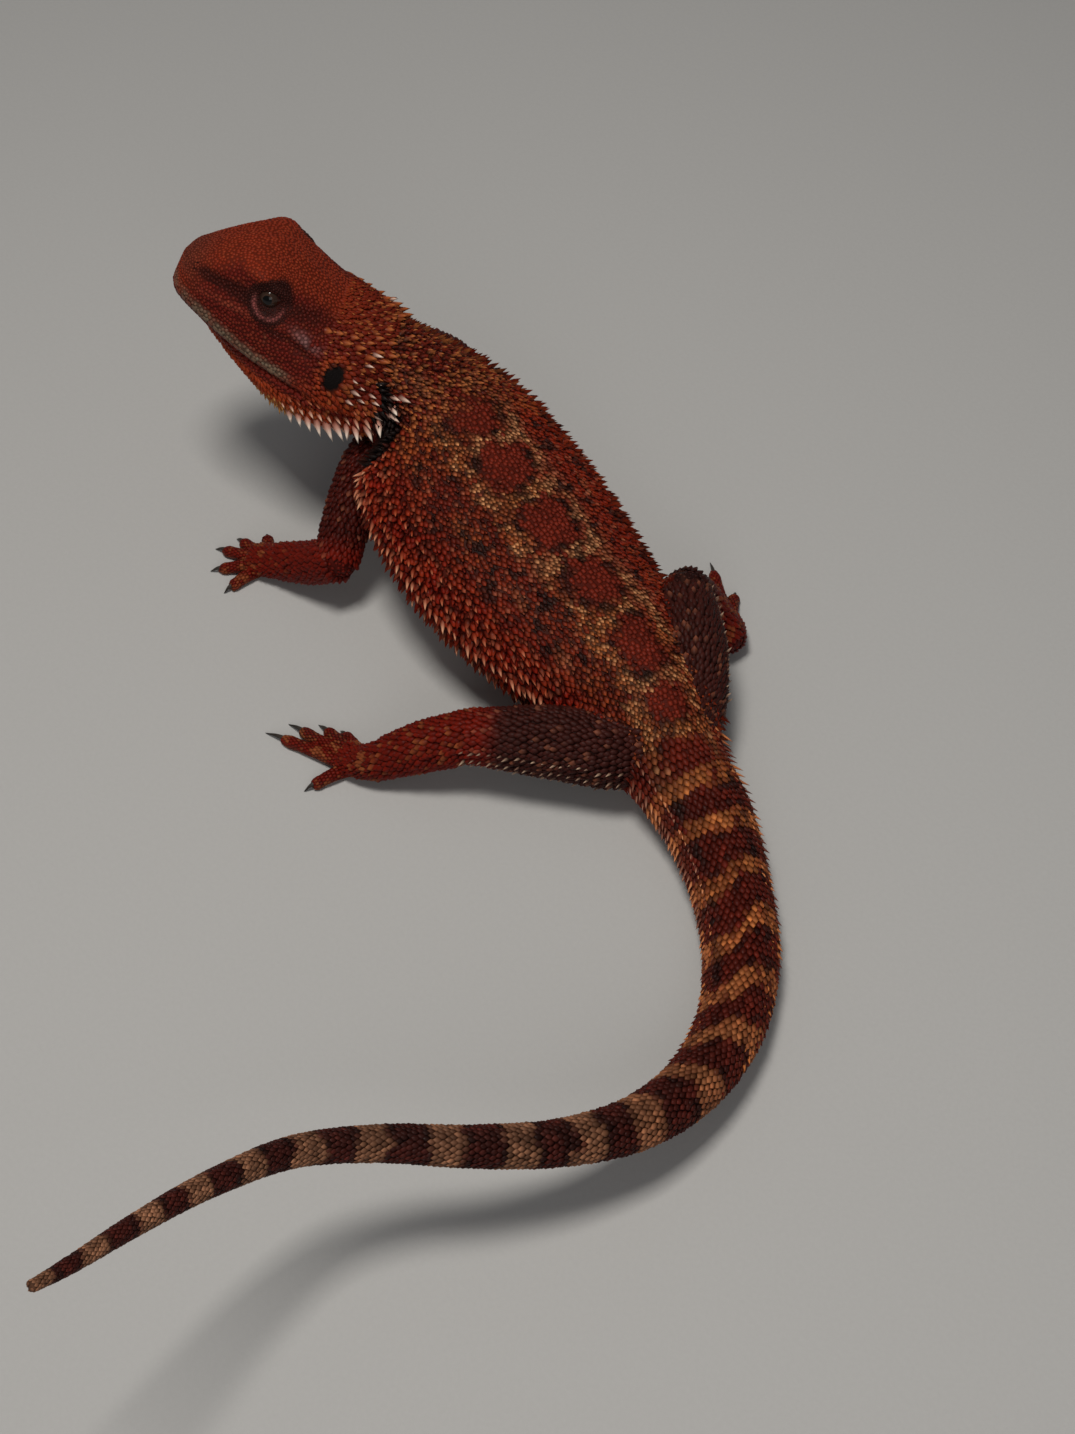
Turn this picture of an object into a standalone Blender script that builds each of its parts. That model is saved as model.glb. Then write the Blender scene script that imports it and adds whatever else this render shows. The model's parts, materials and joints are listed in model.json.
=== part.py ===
"""Central bearded dragon, life size, lying with its head turned to its left and its tail curled.

The trunk and the tail are one smooth tube along the spine, parted into nodes by thin gaps.
The head is a stack of cross-sections in a frame of its own, and each leg is a tube too.
X runs forward along the trunk, Y to the animal's left, Z up; the floor is Z = 0.
Sizes below are in millimetres and are scaled to metres when a mesh is made.
"""
import math
import random

import bmesh
import bpy
import numpy as np

MM = 0.001
GAP = 0.3          # free space between two nodes that meet
CUT_GROWTH = 0.45  # how far the trunk is grown where it trims the roots of the legs
LENS = 1.15        # above 1 the cross-section of the body comes to a blunt edge at the flank

# Spine, from the tip of the tail to the back of the head:
# x, y, z of the widest level, half width, height above it, depth below it, roll in degrees
SPINE = [
    (-57.5, 204.5, 81.0, 1.1, 1.1, 1.1, 0),
    (-56.5, 198.0, 77.0, 1.5, 1.5, 1.5, 0),
    (-53.5, 182.5, 68.0, 2.1, 2.1, 2.1, 0),
    (-50.5, 163.0, 56.0, 2.7, 2.6, 2.6, 0),
    (-51.0, 143.5, 45.0, 3.3, 3.2, 3.2, 0),
    (-57.5, 128.0, 38.0, 3.8, 3.7, 3.7, 0),
    (-68.0, 112.0, 32.0, 4.3, 4.2, 4.2, 0),
    (-77.0, 94.5, 25.0, 4.8, 4.8, 4.8, 0),
    (-82.0, 75.0, 18.0, 5.8, 5.5, 5.5, 0),
    (-80.5, 56.0, 12.5, 6.7, 6.5, 6.5, 0),
    (-74.0, 39.5, 9.5, 7.6, 7.5, 7.5, 0),
    (-61.0, 24.0, 8.3, 8.6, 8.3, 8.5, 0),
    (-45.0, 13.0, 9.0, 9.4, 9.2, 9.2, 0),
    (-26.0, 4.5, 11.0, 11.4, 10.6, 10.6, 0),
    (-13.0, 2.0, 14.0, 12.8, 12.3, 14.1, 1),
    (0.0, -2.0, 16.0, 17.0, 16.0, 17.2, 4),
    (23.5, -5.5, 18.5, 25.0, 18.5, 19.0, 8),
    (43.0, -5.5, 22.0, 30.0, 19.5, 19.2, 10),
    (62.5, -6.5, 26.5, 32.5, 20.0, 19.0, 10),
    (82.0, -9.0, 31.0, 31.5, 19.5, 18.0, 10),
    (100.0, -12.0, 37.0, 27.0, 18.0, 17.0, 10),
    (109.5, -10.8, 42.5, 21.5, 16.0, 15.5, 11),
    (115.0, -8.8, 46.5, 18.5, 15.0, 14.0, 12),
]
TORSO_REAR, NECK_START = 14, 21                # stations that bound the torso
TAIL_CUTS = [0, 4, 7, 10, 12, 14]              # stations between tail_5 ... tail_1
TAIL_SIDES, TRUNK_SIDES = 14, 26
TAIL_STEP, TRUNK_STEP = 6.0, 6.5               # spacing of the rings along the spine

# Head frame: its origin lies between the ears at the level of the mouth
HEAD_BASE = (127.0, -1.0, 51.5)
HEAD_YAW, HEAD_PITCH, HEAD_ROLL = 38.0, 24.0, 12.0
HEAD_REAR = -10.0
NECK_AXIS_LIFT = 2.5
# x ahead of the ears, mouth level, crown, chin, half width, squareness above and below
HEAD = [
    (-10.0, -1.0, 15.0, -10.5, 17.5, 2.3, 2.3),
    (-6.0, -1.1, 16.1, -12.0, 20.3, 2.3, 2.6),
    (-1.0, -1.2, 16.9, -13.2, 21.8, 2.3, 2.9),
    (5.0, -1.2, 18.0, -13.9, 22.0, 2.4, 3.0),
    (11.0, -1.2, 19.6, -13.5, 21.4, 2.5, 3.0),
    (17.0, -1.2, 21.7, -12.2, 20.1, 2.8, 2.9),
    (23.0, -1.2, 23.5, -10.3, 18.6, 3.4, 2.7),
    (29.0, -0.6, 24.6, -8.6, 17.2, 3.9, 2.4),
    (35.0, 0.3, 22.7, -6.6, 15.3, 3.6, 2.1),
    (40.5, 1.0, 18.9, -4.6, 13.0, 3.2, 2.0),
    (45.5, 1.5, 14.9, -2.8, 10.2, 2.8, 1.9),
    (48.8, 2.0, 11.8, -1.0, 6.9, 2.5, 1.9),
    (50.4, 2.8, 8.6, 0.8, 3.1, 2.2, 2.0),
]
HEAD_STEP = 3.2                                # spacing of the sections along the head
# Heights of the points of a section, as shares of the way from the mouth to the crown,
# and turns of the points below the mouth, in radians
HEAD_SHARES = (0.0, 0.055, 0.14, 0.3, 0.5, 0.68, 0.82, 0.92, 0.975)
HEAD_SQUARE = 0.62
JAW_TURNS = (0.10, 0.3, 0.62, 1.0, 1.32)
LIP_STEP, LIP_TAPER = 0.96, 0.24               # lower jaw width beside the upper, and its loss ahead
TAPER_START, TAPER_LENGTH = 16.0, 24.0         # where the lower jaw grows narrower
MOUTH_GROOVE = 0.8                             # depth of the line of the mouth
MOUTH_CORNER, LIP_SWELL = 4.5, 0.5
ORBIT = (25.0, 17.3, 6.5, 1.6)                 # x, z, radius and depth of the hollow round the eye
BROW = (29.0, 13.6, 21.6)                      # middle of the ridge over the eye
BROW_LENGTH, BROW_REACH = 9.0, 4.0             # how far it runs along the head and across it
BROW_RISE, BROW_SWELL = 0.64, 2.0
UPPER_LIP, LOWER_LIP, LIP_REACH = 2.0, -2.2, 1.6
GROOVE_REACH = 0.9
EYE = (24.9, 11.7, 16.5)
EYE_RADIUS = 4.5
LID_RADIUS, LID_THICK, LID_OUT = 4.4, 1.25, 15.0
LID_LONG, LID_LOW = 1.18, 0.92                 # length and height of the lids beside their radius
EAR = (2.0, 21.3, 6.6, 3.4, 2.6, 2.4)          # x, y, z, half height, half length, depth
NOSTRIL = (45.8, 7.9, 11.6, 0.95)

# Rows of spines on each side of the head: number, first x, spacing towards the rear,
# first angle and its step in degrees, length, radius, lean to the rear
HEAD_ROWS = [
    (6, 14.0, 3.9, -20, 0.6, 2.4, 0.95, 0.7),
    (5, 12.0, 4.2, -68, 0.0, 2.6, 1.00, 0.7),
]
BEARD_ROW = (9, 20.0, 3.2, -40, 0.6, 2.6, 1.10, 0.55)
BEARD_PEAK = 2.2                               # extra length in the middle of the beard's row
# Spines across the back of the head: angle in degrees and length, in two rows
NAPE_X, NAPE_RADIUS, NAPE_LEAN = (-7.0, -2.5), (1.05, 0.95), 0.9
NAPE_ROWS = [
    [(-8, 4.0), (6, 4.2), (20, 3.6), (36, 3.2), (54, 2.6), (72, 2.4)],
    [(12, 3.0), (28, 3.0), (46, 2.4), (64, 2.2)],
]

# Legs: x, y, z and radius from the root inside the trunk, through elbow or knee, to the toes
LEGS = {
    "fore_left": [
        (107.5, -4.0, 36.0, 7.0), (107.5, 4.5, 33.0, 7.2), (102.5, 17.5, 26.0, 6.3),
        (96.0, 28.0, 17.5, 5.6), (105.5, 31.5, 10.5, 5.3), (114.0, 35.0, 6.2, 4.6),
        (118.5, 37.0, 4.3, 4.9), (122.5, 38.6, 3.2, 4.2)],
    "fore_right": [
        (104.0, -22.0, 34.0, 7.0), (110.0, -30.0, 31.5, 7.2), (123.5, -34.5, 31.0, 6.3),
        (136.5, -37.0, 26.0, 5.6), (148.5, -39.0, 15.5, 5.3), (158.0, -39.5, 6.4, 4.6),
        (162.5, -38.5, 4.3, 4.9), (166.0, -37.0, 3.2, 4.2)],
    "hind_left": [
        (-6.0, 2.0, 16.5, 8.0), (-3.0, 8.0, 16.5, 8.6), (11.0, 22.0, 17.5, 8.4),
        (26.5, 37.0, 17.0, 6.4), (35.0, 47.5, 12.0, 5.9), (42.0, 56.5, 6.6, 4.4),
        (46.0, 58.7, 4.6, 4.6), (51.0, 60.0, 3.4, 3.9)],
    "hind_right": [
        (-8.0, -4.0, 17.0, 8.0), (-3.0, -11.0, 18.0, 8.6), (9.0, -22.5, 23.0, 8.4),
        (22.0, -31.5, 25.5, 6.6), (20.0, -38.0, 15.5, 5.9), (14.0, -41.5, 7.0, 4.4),
        (18.0, -45.0, 4.6, 4.6), (25.0, -47.6, 3.4, 3.9)],
}
LEG_NODES = {"fore": ("upper_arm", "forearm", "hand"), "hind": ("thigh", "shank", "foot")}
LEG_BEND, LEG_WRIST = 3, 5                     # stations of the elbow or knee and of the wrist or ankle
LEG_PIECES = [(0, LEG_BEND), (LEG_BEND, LEG_WRIST), (LEG_WRIST, 7)]
LEG_SIDES, LEG_STEP, PALM_STEP = 12, 5.0, 2.6
JOINT_SUNK = 0.2                               # how far a piece starts inside the joint, in radii
DOME = 0.85                                    # depth of the rounded end of a piece, in radii
PALM_FLAT, THIGH_DEEP = 0.72, 1.12             # height of the palm and of the thigh beside its width
# Each digit: where it leaves the palm (0 inner, 1 outer), heading from +X, reach to the claw tip
DIGITS = {
    "fore_left": [(0.0, -30, 9.5), (0.25, 5, 12.5), (0.5, 25, 14.5), (0.75, 52, 13.5), (1.0, 88, 11.0)],
    "fore_right": [(0.0, 75, 9.5), (0.25, 42, 12.5), (0.5, 18, 14.5), (0.75, -5, 13.5), (1.0, -38, 11.0)],
    "hind_left": [(0.0, -6, 11.0), (0.2, 3, 16.0), (0.5, 13, 21.5), (0.8, 22, 25.5), (1.0, 78, 12.0)],
    "hind_right": [(0.0, 15, 10.0), (0.2, -5, 14.5), (0.5, -18, 18.0), (0.8, -32, 22.0), (1.0, -52, 11.0)],
}
DIGIT_RADIUS, DIGIT_RISE, DIGIT_SIDES = 1.75, 3.4, 6
CLAW_SHARE = 0.26                              # share of a digit's reach that is claw

# How each digit rises to its knuckle and thins to its claw: share of the reach, rise, thickness
DIGIT_PROFILE = [(-0.12, 0.0, 0.9), (0.3, 0.6, 0.95), (0.55, 0.3, 0.86),
                 (1 - CLAW_SHARE, 0.0, 0.78), (1.1 - CLAW_SHARE, 0.12, 0.42), (1.0, -0.1, 0.1)]
DIGIT_LEVEL = 0.7                              # height of its axis over the floor, in radii

# Spines of the body
SPINE_SIDES = 4
FRINGE_STATIONS, FRINGE_COUNT = (17, 20), 17
FRINGE_ROWS = [(0.10, 3.6), (-0.30, 2.8)]      # angle up from the flank and length
FRINGE_RADIUS, FRINGE_LEAN = 1.1, 0.55
TAIL_SPINE_PITCH, TAIL_SPINE_ANGLE, TAIL_SPINE_SHARE = 4.2, 0.25, 0.2
TAIL_SPINE_RADIUS, TAIL_SPINE_LEAN = 0.85, 0.8
NECK_ROWS, NECK_COUNT, NECK_FIRST, NECK_SPREAD = 3, 7, 22.0, 22.7
NECK_LENGTH, NECK_RADIUS, NECK_LEAN = 2.4, 0.9, 0.4
THIGH_COUNT, THIGH_LENGTH, THIGH_LEAN = 6, 2.2, 0.6
SMALL_SUNK, LARGE_SUNK = 0.9, 1.2              # how deep the foot of a spine stands in the skin
SEED = 11

# Colour, roughness of each kind of surface
SKINS = {
    "head": ((0.30, 0.055, 0.03), 0.62),
    "neck": ((0.27, 0.06, 0.03), 0.66),
    "torso": ((0.24, 0.055, 0.03), 0.68),
    "tail": ((0.21, 0.07, 0.035), 0.66),
    "thigh": ((0.14, 0.05, 0.045), 0.68),
    "limb": ((0.32, 0.06, 0.025), 0.64),
    "eye": ((0.05, 0.025, 0.015), 0.12),
}


def unit(v):
    """The vector at length 1."""
    v = np.asarray(v, float)
    return v / np.linalg.norm(v)


def smooth_curve(knots, values, t):
    """Smooth curve through the values at the knots, read at t, with its slope."""
    knots, values = np.asarray(knots, float), np.asarray(values, float)
    step = np.diff(knots)
    rise = np.diff(values, axis=0) / step[:, None]
    slope = np.vstack([rise[:1], (rise[:-1] * step[1:, None] + rise[1:] * step[:-1, None])
                       / (step[1:] + step[:-1])[:, None], rise[-1:]])
    i = int(np.clip(np.searchsorted(knots, t, side="right") - 1, 0, len(step) - 1))
    h = step[i]
    s = (t - knots[i]) / h
    value = ((2 * s**3 - 3 * s**2 + 1) * values[i] + (s**3 - 2 * s**2 + s) * h * slope[i]
             + (3 * s**2 - 2 * s**3) * values[i + 1] + (s**3 - s**2) * h * slope[i + 1])
    speed = ((6 * s**2 - 6 * s) / h * values[i] + (3 * s**2 - 4 * s + 1) * slope[i]
             + (6 * s - 6 * s**2) / h * values[i + 1] + (3 * s**2 - 2 * s) * slope[i + 1])
    return value, speed


def signed_power(value, power):
    """Power of the size of a number, with its sign kept."""
    return math.copysign(abs(value) ** power, value)


class Tube:
    """A body length: rings of x, y, z, half width, height, depth and roll along a smooth curve."""

    def __init__(self, stations, lens=1.0, end_axis=None, end_share=0.05):
        self.rows = np.asarray(stations, float)
        steps = np.linalg.norm(np.diff(self.rows[:, :3], axis=0), axis=1)
        self.knots = np.concatenate([[0.0], np.cumsum(steps)])
        self.lens = lens
        self.end_axis = end_axis
        self.end_length = self.knots[-1] * end_share

    def frame(self, t):
        """Centre, forward, left and up directions and the three sizes at length t."""
        row, speed = smooth_curve(self.knots, self.rows, t)
        forward = unit(speed[:3])
        if self.end_axis is not None:
            share = np.clip(1 - (self.knots[-1] - t) / self.end_length, 0, 1)
            forward = unit(forward * (1 - share) + self.end_axis * share)
        left = unit(np.cross((0, 0, 1), forward))
        up = np.cross(forward, left)
        roll = math.radians(row[6])
        return (row[:3], forward, left * math.cos(roll) + up * math.sin(roll),
                up * math.cos(roll) - left * math.sin(roll), row[3:6])

    def point(self, t, angle, grow=0.0):
        """Point of the surface: angle 0 is the left flank, a quarter turn is the back."""
        centre, _, left, up, (half, top, under) = self.frame(t)
        height = signed_power(math.sin(angle), self.lens)
        rise = (top if height > 0 else under) + grow
        return centre + left * (half + grow) * math.cos(angle) + up * rise * height

    def normal(self, t, angle):
        """Outward direction of the surface."""
        along = self.point(t + 0.5, angle) - self.point(t - 0.5, angle)
        around = self.point(t, angle + 0.05) - self.point(t, angle - 0.05)
        return unit(np.cross(around, along)) * -1.0

    def rings(self, start, end, step, sides, grow=0.0):
        """Rings from start to end, about a step apart."""
        count = max(2, int(round(abs(end - start) / step)) + 1)
        return [[self.point(t, 2 * math.pi * k / sides, grow) for k in range(sides)]
                for t in np.linspace(start, end, count)]


def head_axes():
    """Forward, left and up directions of the head."""
    yaw, pitch, roll = (math.radians(a) for a in (HEAD_YAW, HEAD_PITCH, HEAD_ROLL))
    forward = np.array([math.cos(pitch) * math.cos(yaw), math.cos(pitch) * math.sin(yaw), math.sin(pitch)])
    left = np.array([-math.sin(yaw), math.cos(yaw), 0.0])
    up = np.cross(forward, left)
    return (forward, left * math.cos(roll) + up * math.sin(roll),
            up * math.cos(roll) - left * math.sin(roll))


HEAD_FORWARD, HEAD_LEFT, HEAD_UP = head_axes()


def head_to_model(p):
    """A point of the head's own frame, in the model's frame."""
    return np.array(HEAD_BASE) + HEAD_FORWARD * p[0] + HEAD_LEFT * p[1] + HEAD_UP * p[2]


def bump(x, centre, reach):
    """A smooth hill of height 1 and the given reach."""
    s = min(1.0, abs(x - centre) / reach)
    return (1 - s * s) ** 2


def head_section(x, angle):
    """Point of the head's surface in its own frame; angle 0 is the left side at the mouth."""
    row, _ = smooth_curve([r[0] for r in HEAD], [r[1:] for r in HEAD], x)
    mouth, crown, chin, half, square_top, square_low = row
    c, s = math.cos(angle), math.sin(angle)
    upper = s >= 0
    power = 2.0 / (square_top if upper else square_low)
    taper = min(1.0, max(0.0, (x - TAPER_START) / TAPER_LENGTH))
    y = half * signed_power(c, power) * (1.0 if upper else LIP_STEP - LIP_TAPER * taper)
    z = mouth + ((crown - mouth) if upper else (mouth - chin)) * signed_power(s, power)
    side = math.copysign(1.0, c)
    cheek = bump(abs(c), 1.0, 0.6)
    y -= side * ORBIT[3] * bump(x, ORBIT[0], ORBIT[2]) * bump(z, ORBIT[1], ORBIT[2] * 0.8) * cheek
    brow = (bump(x, BROW[0], BROW_LENGTH) * bump(abs(y), BROW[1], BROW_REACH)
            * bump(z, BROW[2], BROW_REACH))
    y += side * BROW_SWELL * brow
    z += BROW_RISE * brow
    if x > MOUTH_CORNER:
        near = bump(z, mouth, GROOVE_REACH) * min(1.0, (x - MOUTH_CORNER) / HEAD_STEP)
        lips = bump(z, mouth + UPPER_LIP, LIP_REACH) + bump(z, mouth + LOWER_LIP, LIP_REACH)
        y += side * abs(c) ** 0.5 * (LIP_SWELL * lips - MOUTH_GROOVE * near)
    return np.array([x, y, z])


def head_angles():
    """Angles of a ring's points, closer together at the line of the mouth."""
    quarter = [math.asin(share ** (1 / HEAD_SQUARE)) for share in HEAD_SHARES] + [math.pi / 2]
    upper = quarter + [math.pi - a for a in reversed(quarter[:-1])]
    lower = ([math.pi + a for a in JAW_TURNS] + [1.5 * math.pi]
             + [2 * math.pi - a for a in reversed(JAW_TURNS)])
    return upper + lower


def head_rings():
    """Rings of the head from its rear plane to the tip of the snout, in the model's frame."""
    end = HEAD[-1][0]
    count = int(round((end - HEAD_REAR) / HEAD_STEP)) + 1
    places = list(np.linspace(HEAD_REAR + GAP / 2, end - 3.0, count)) + [end - 1.4, end - 0.3]
    return [[head_to_model(head_section(x, a)) for a in head_angles()] for x in places]


def add_material(obj, kind):
    """A plain surface of the given kind, one for each object."""
    colour, roughness = SKINS[kind]
    mat = bpy.data.materials.new(obj.name + "_surface")
    mat.use_nodes = True
    shader = mat.node_tree.nodes["Principled BSDF"]
    shader.inputs["Base Color"].default_value = (*colour, 1.0)
    shader.inputs["Roughness"].default_value = roughness
    shader.inputs["Metallic"].default_value = 0.0
    mat.diffuse_color = (*colour, 1.0)
    obj.data.materials.append(mat)


def mesh_object(name, verts, faces):
    """An object from points in millimetres, triangulated and with its faces pointing out."""
    mesh = bpy.data.meshes.new(name)
    mesh.from_pydata([tuple(np.asarray(v) * MM) for v in verts], [], faces)
    work = bmesh.new()
    work.from_mesh(mesh)
    bmesh.ops.triangulate(work, faces=work.faces)
    bmesh.ops.recalc_face_normals(work, faces=work.faces)
    work.to_mesh(mesh)
    work.free()
    obj = bpy.data.objects.new(name, mesh)
    bpy.context.scene.collection.objects.link(obj)
    return obj


def loft(name, rings, floor=None):
    """A closed solid through the rings; what would pass under the floor lies flat on it."""
    sides = len(rings[0])
    verts = [np.array(p, float) for ring in rings for p in ring]
    first, last = len(verts), len(verts) + 1
    verts += [np.mean(rings[0], axis=0), np.mean(rings[-1], axis=0)]
    if floor is not None:
        for v in verts:
            v[2] = max(v[2], floor)
    faces = []
    for r in range(len(rings) - 1):
        for k in range(sides):
            a, b = r * sides + k, r * sides + (k + 1) % sides
            faces.append((a, b, b + sides, a + sides))
    top = (len(rings) - 1) * sides
    for k in range(sides):
        faces.append((first, (k + 1) % sides, k))
        faces.append((last, top + k, top + (k + 1) % sides))
    return mesh_object(name, verts, faces)


def ellipsoid(name, centre, axes, radii, rows=7, sides=12):
    """A ball or an egg along the given directions, both at its poles and round."""
    rings = []
    for i in range(1, rows):
        lat = math.pi * i / rows - math.pi / 2
        rings.append([centre + axes[0] * radii[0] * math.sin(lat)
                      + math.cos(lat) * (axes[1] * radii[1] * math.cos(2 * math.pi * k / sides)
                                         + axes[2] * radii[2] * math.sin(2 * math.pi * k / sides))
                      for k in range(sides)])
    obj = loft(name, rings)
    ends = obj.data.vertices[-2:]
    for vert, sign in zip(ends, (-1, 1)):
        vert.co = tuple((centre + axes[0] * radii[0] * sign) * MM)
    return obj


def spine(name, root, direction, length, radius, sunk=SMALL_SUNK, sides=SPINE_SIDES):
    """A tapered spine that stands on the point root, its foot sunk in."""
    direction = unit(direction)
    side = unit(np.cross(direction, (0.31, 0.22, 0.93)))
    other = np.cross(direction, side)
    foot = root - direction * sunk
    tip = root + direction * length
    ring = [foot + radius * (side * math.cos(2 * math.pi * k / sides)
                             + other * math.sin(2 * math.pi * k / sides)) for k in range(sides)]
    faces = [(k, (k + 1) % sides, sides) for k in range(sides)] + [tuple(reversed(range(sides)))]
    return mesh_object(name, ring + [tip], faces)


def apply_boolean(obj, operation, others, solver="EXACT"):
    """Join or cut the object with the others, which are then removed."""
    group = bpy.data.collections.new("tools")
    bpy.context.scene.collection.children.link(group)
    for other in others:
        bpy.context.scene.collection.objects.unlink(other)
        group.objects.link(other)
    mod = obj.modifiers.new("join", "BOOLEAN")
    mod.operation = operation
    mod.operand_type = "COLLECTION"
    mod.collection = group
    mod.solver = solver
    bpy.context.view_layer.update()
    graph = bpy.context.evaluated_depsgraph_get()
    mesh = bpy.data.meshes.new_from_object(obj.evaluated_get(graph))
    obj.modifiers.clear()
    obj.data = mesh
    for other in others:
        bpy.data.objects.remove(other, do_unlink=True)
    bpy.data.collections.remove(group)
    keep_largest(obj)


def keep_largest(obj):
    """Keep only the largest closed surface of the object."""
    work = bmesh.new()
    work.from_mesh(obj.data)
    seen, pieces = set(), []
    for seed in work.verts:
        if seed in seen:
            continue
        stack, piece = [seed], []
        seen.add(seed)
        while stack:
            vert = stack.pop()
            piece.append(vert)
            for edge in vert.link_edges:
                other = edge.other_vert(vert)
                if other not in seen:
                    seen.add(other)
                    stack.append(other)
        pieces.append(piece)
    pieces.sort(key=len, reverse=True)
    for piece in pieces[1:]:
        bmesh.ops.delete(work, geom=piece, context="VERTS")
    bmesh.ops.triangulate(work, faces=work.faces)
    work.to_mesh(obj.data)
    work.free()


def finish(obj, kind, parent):
    """Material, smooth shading and a place in the animal."""
    obj.data.materials.clear()
    add_material(obj, kind)
    obj.data.shade_smooth()
    obj.data.set_sharp_from_angle(angle=math.radians(35))
    obj.parent = parent


class Skeleton:
    """The curves that all nodes share, and the draws that vary the spines."""

    def __init__(self):
        neck_end = head_to_model((HEAD_REAR - GAP / 2, 0.0, NECK_AXIS_LIFT))
        rows = SPINE + [(*neck_end, 17.0, 13.0, 13.0, HEAD_ROLL)]
        self.body = Tube(rows, LENS, end_axis=HEAD_FORWARD)
        self.draw = random.Random(SEED)
        self.legs = {}
        for name, places in LEGS.items():
            stations = []
            for i, (x, y, z, r) in enumerate(places):
                flat = PALM_FLAT if i > LEG_WRIST else 1.0
                deep = THIGH_DEEP if name.startswith("hind") and i < LEG_BEND else 1.0
                stations.append((x, y, z, r, r * flat * deep, r * flat * deep, 0.0))
            pieces = []
            for first, last in LEG_PIECES:
                rows = [list(row) for row in stations[first:last + 1]]
                if first:
                    ahead = unit(np.subtract(rows[1][:3], rows[0][:3]))
                    rows[0][:3] = list(np.array(rows[0][:3]) - ahead * rows[0][3] * JOINT_SUNK)
                pieces.append(Tube(rows))
            self.legs[name] = pieces

    def vary(self, value, share=0.15):
        """A size varied by a seeded draw."""
        return value * self.draw.uniform(1 - share, 1 + share)


def flank_spines(skeleton):
    """Fringe of spines along both flanks, two rows on each side, clear of the legs."""
    body, pieces = skeleton.body, []
    start, end = body.knots[FRINGE_STATIONS[0]] - 6.0, body.knots[FRINGE_STATIONS[1]] - 3.0
    for flank, up in ((0.0, 1), (math.pi, -1)):
        for i in range(FRINGE_COUNT):
            for row, (rise, length) in enumerate(FRINGE_ROWS):
                t = start + (end - start) * (i + 0.5 * row) / FRINGE_COUNT
                angle = flank + up * rise
                _, forward, _, _, _ = body.frame(t)
                out = unit(body.normal(t, angle) - forward * FRINGE_LEAN)
                pieces.append(spine("fringe", body.point(t, angle), out, skeleton.vary(length),
                                    FRINGE_RADIUS, LARGE_SUNK))
    return pieces


def tail_spines(skeleton, first, last):
    """Pointed scales along both sides of the thick part of the tail."""
    body, pieces = skeleton.body, []
    start, end = body.knots[first] + 2.5, body.knots[last] - 2.5
    count = int((end - start) / TAIL_SPINE_PITCH)
    for i in range(count):
        t = start + (end - start) * i / max(1, count - 1)
        for angle in (TAIL_SPINE_ANGLE, math.pi - TAIL_SPINE_ANGLE):
            _, forward, _, _, (half, _, _) = body.frame(t)
            out = unit(body.normal(t, angle) - forward * TAIL_SPINE_LEAN)
            pieces.append(spine("tail_spine", body.point(t, angle), out,
                                skeleton.vary(TAIL_SPINE_SHARE * half), TAIL_SPINE_RADIUS))
    return pieces


def neck_spines(skeleton):
    """Short spines across the nape and down the sides of the neck."""
    body, pieces = skeleton.body, []
    start, end = body.knots[NECK_START] + 3.2, body.knots[-1] - 2.6
    for row in range(NECK_ROWS):
        t = start + (end - start) * row / (NECK_ROWS - 1)
        for k in range(NECK_COUNT):
            angle = math.radians(NECK_FIRST + NECK_SPREAD * k)
            _, forward, _, _, _ = body.frame(t)
            out = unit(body.normal(t, angle) - forward * NECK_LEAN)
            pieces.append(spine("neck_spine", body.point(t, angle), out,
                                skeleton.vary(NECK_LENGTH), NECK_RADIUS))
    return pieces


def head_normal(x, angle):
    """Outward direction of the head's surface in its own frame."""
    along = head_section(x + 0.4, angle) - head_section(x - 0.4, angle)
    around = head_section(x, angle + 0.06) - head_section(x, angle - 0.06)
    return unit(np.cross(along, around))


def head_spine(skeleton, x, degrees, length, radius, back):
    """A spine on each side of the head, leaning back."""
    pieces = []
    for mirror in (1, -1):
        angle = math.radians(degrees) if mirror > 0 else math.pi - math.radians(degrees)
        root = head_section(x, angle)
        out = unit(head_normal(x, angle) * mirror_sign(x, angle) + np.array([-back, 0, 0]))
        turned = HEAD_FORWARD * out[0] + HEAD_LEFT * out[1] + HEAD_UP * out[2]
        pieces.append(spine("head_spine", head_to_model(root), turned, skeleton.vary(length),
                            radius, LARGE_SUNK))
    return pieces


def mirror_sign(x, angle):
    """1 or -1, so that the direction points away from the middle of the head."""
    root, out = head_section(x, angle), head_normal(x, angle)
    return 1.0 if np.dot(out[1:], (root[1], root[2] - 3.0)) > 0 else -1.0


def beard_spines(skeleton):
    """Spines of the beard, behind the ear, at the back of the jaw and over the nape."""
    pieces = []
    for row in [BEARD_ROW] + HEAD_ROWS:
        count, first, pitch, degrees, turn, length, radius, lean = row
        peak = BEARD_PEAK if row is BEARD_ROW else 0.0
        for i in range(count):
            swell = peak * math.sin(math.pi * min(1.0, (i + 1.5) / (count - 0.5)))
            pieces += head_spine(skeleton, first - pitch * i, degrees + turn * i, length + swell,
                                 radius, lean)
    for x, radius, row in zip(NAPE_X, NAPE_RADIUS, NAPE_ROWS):
        for degrees, length in row:
            pieces += head_spine(skeleton, x, degrees, length, radius, NAPE_LEAN)
    return pieces


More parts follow.
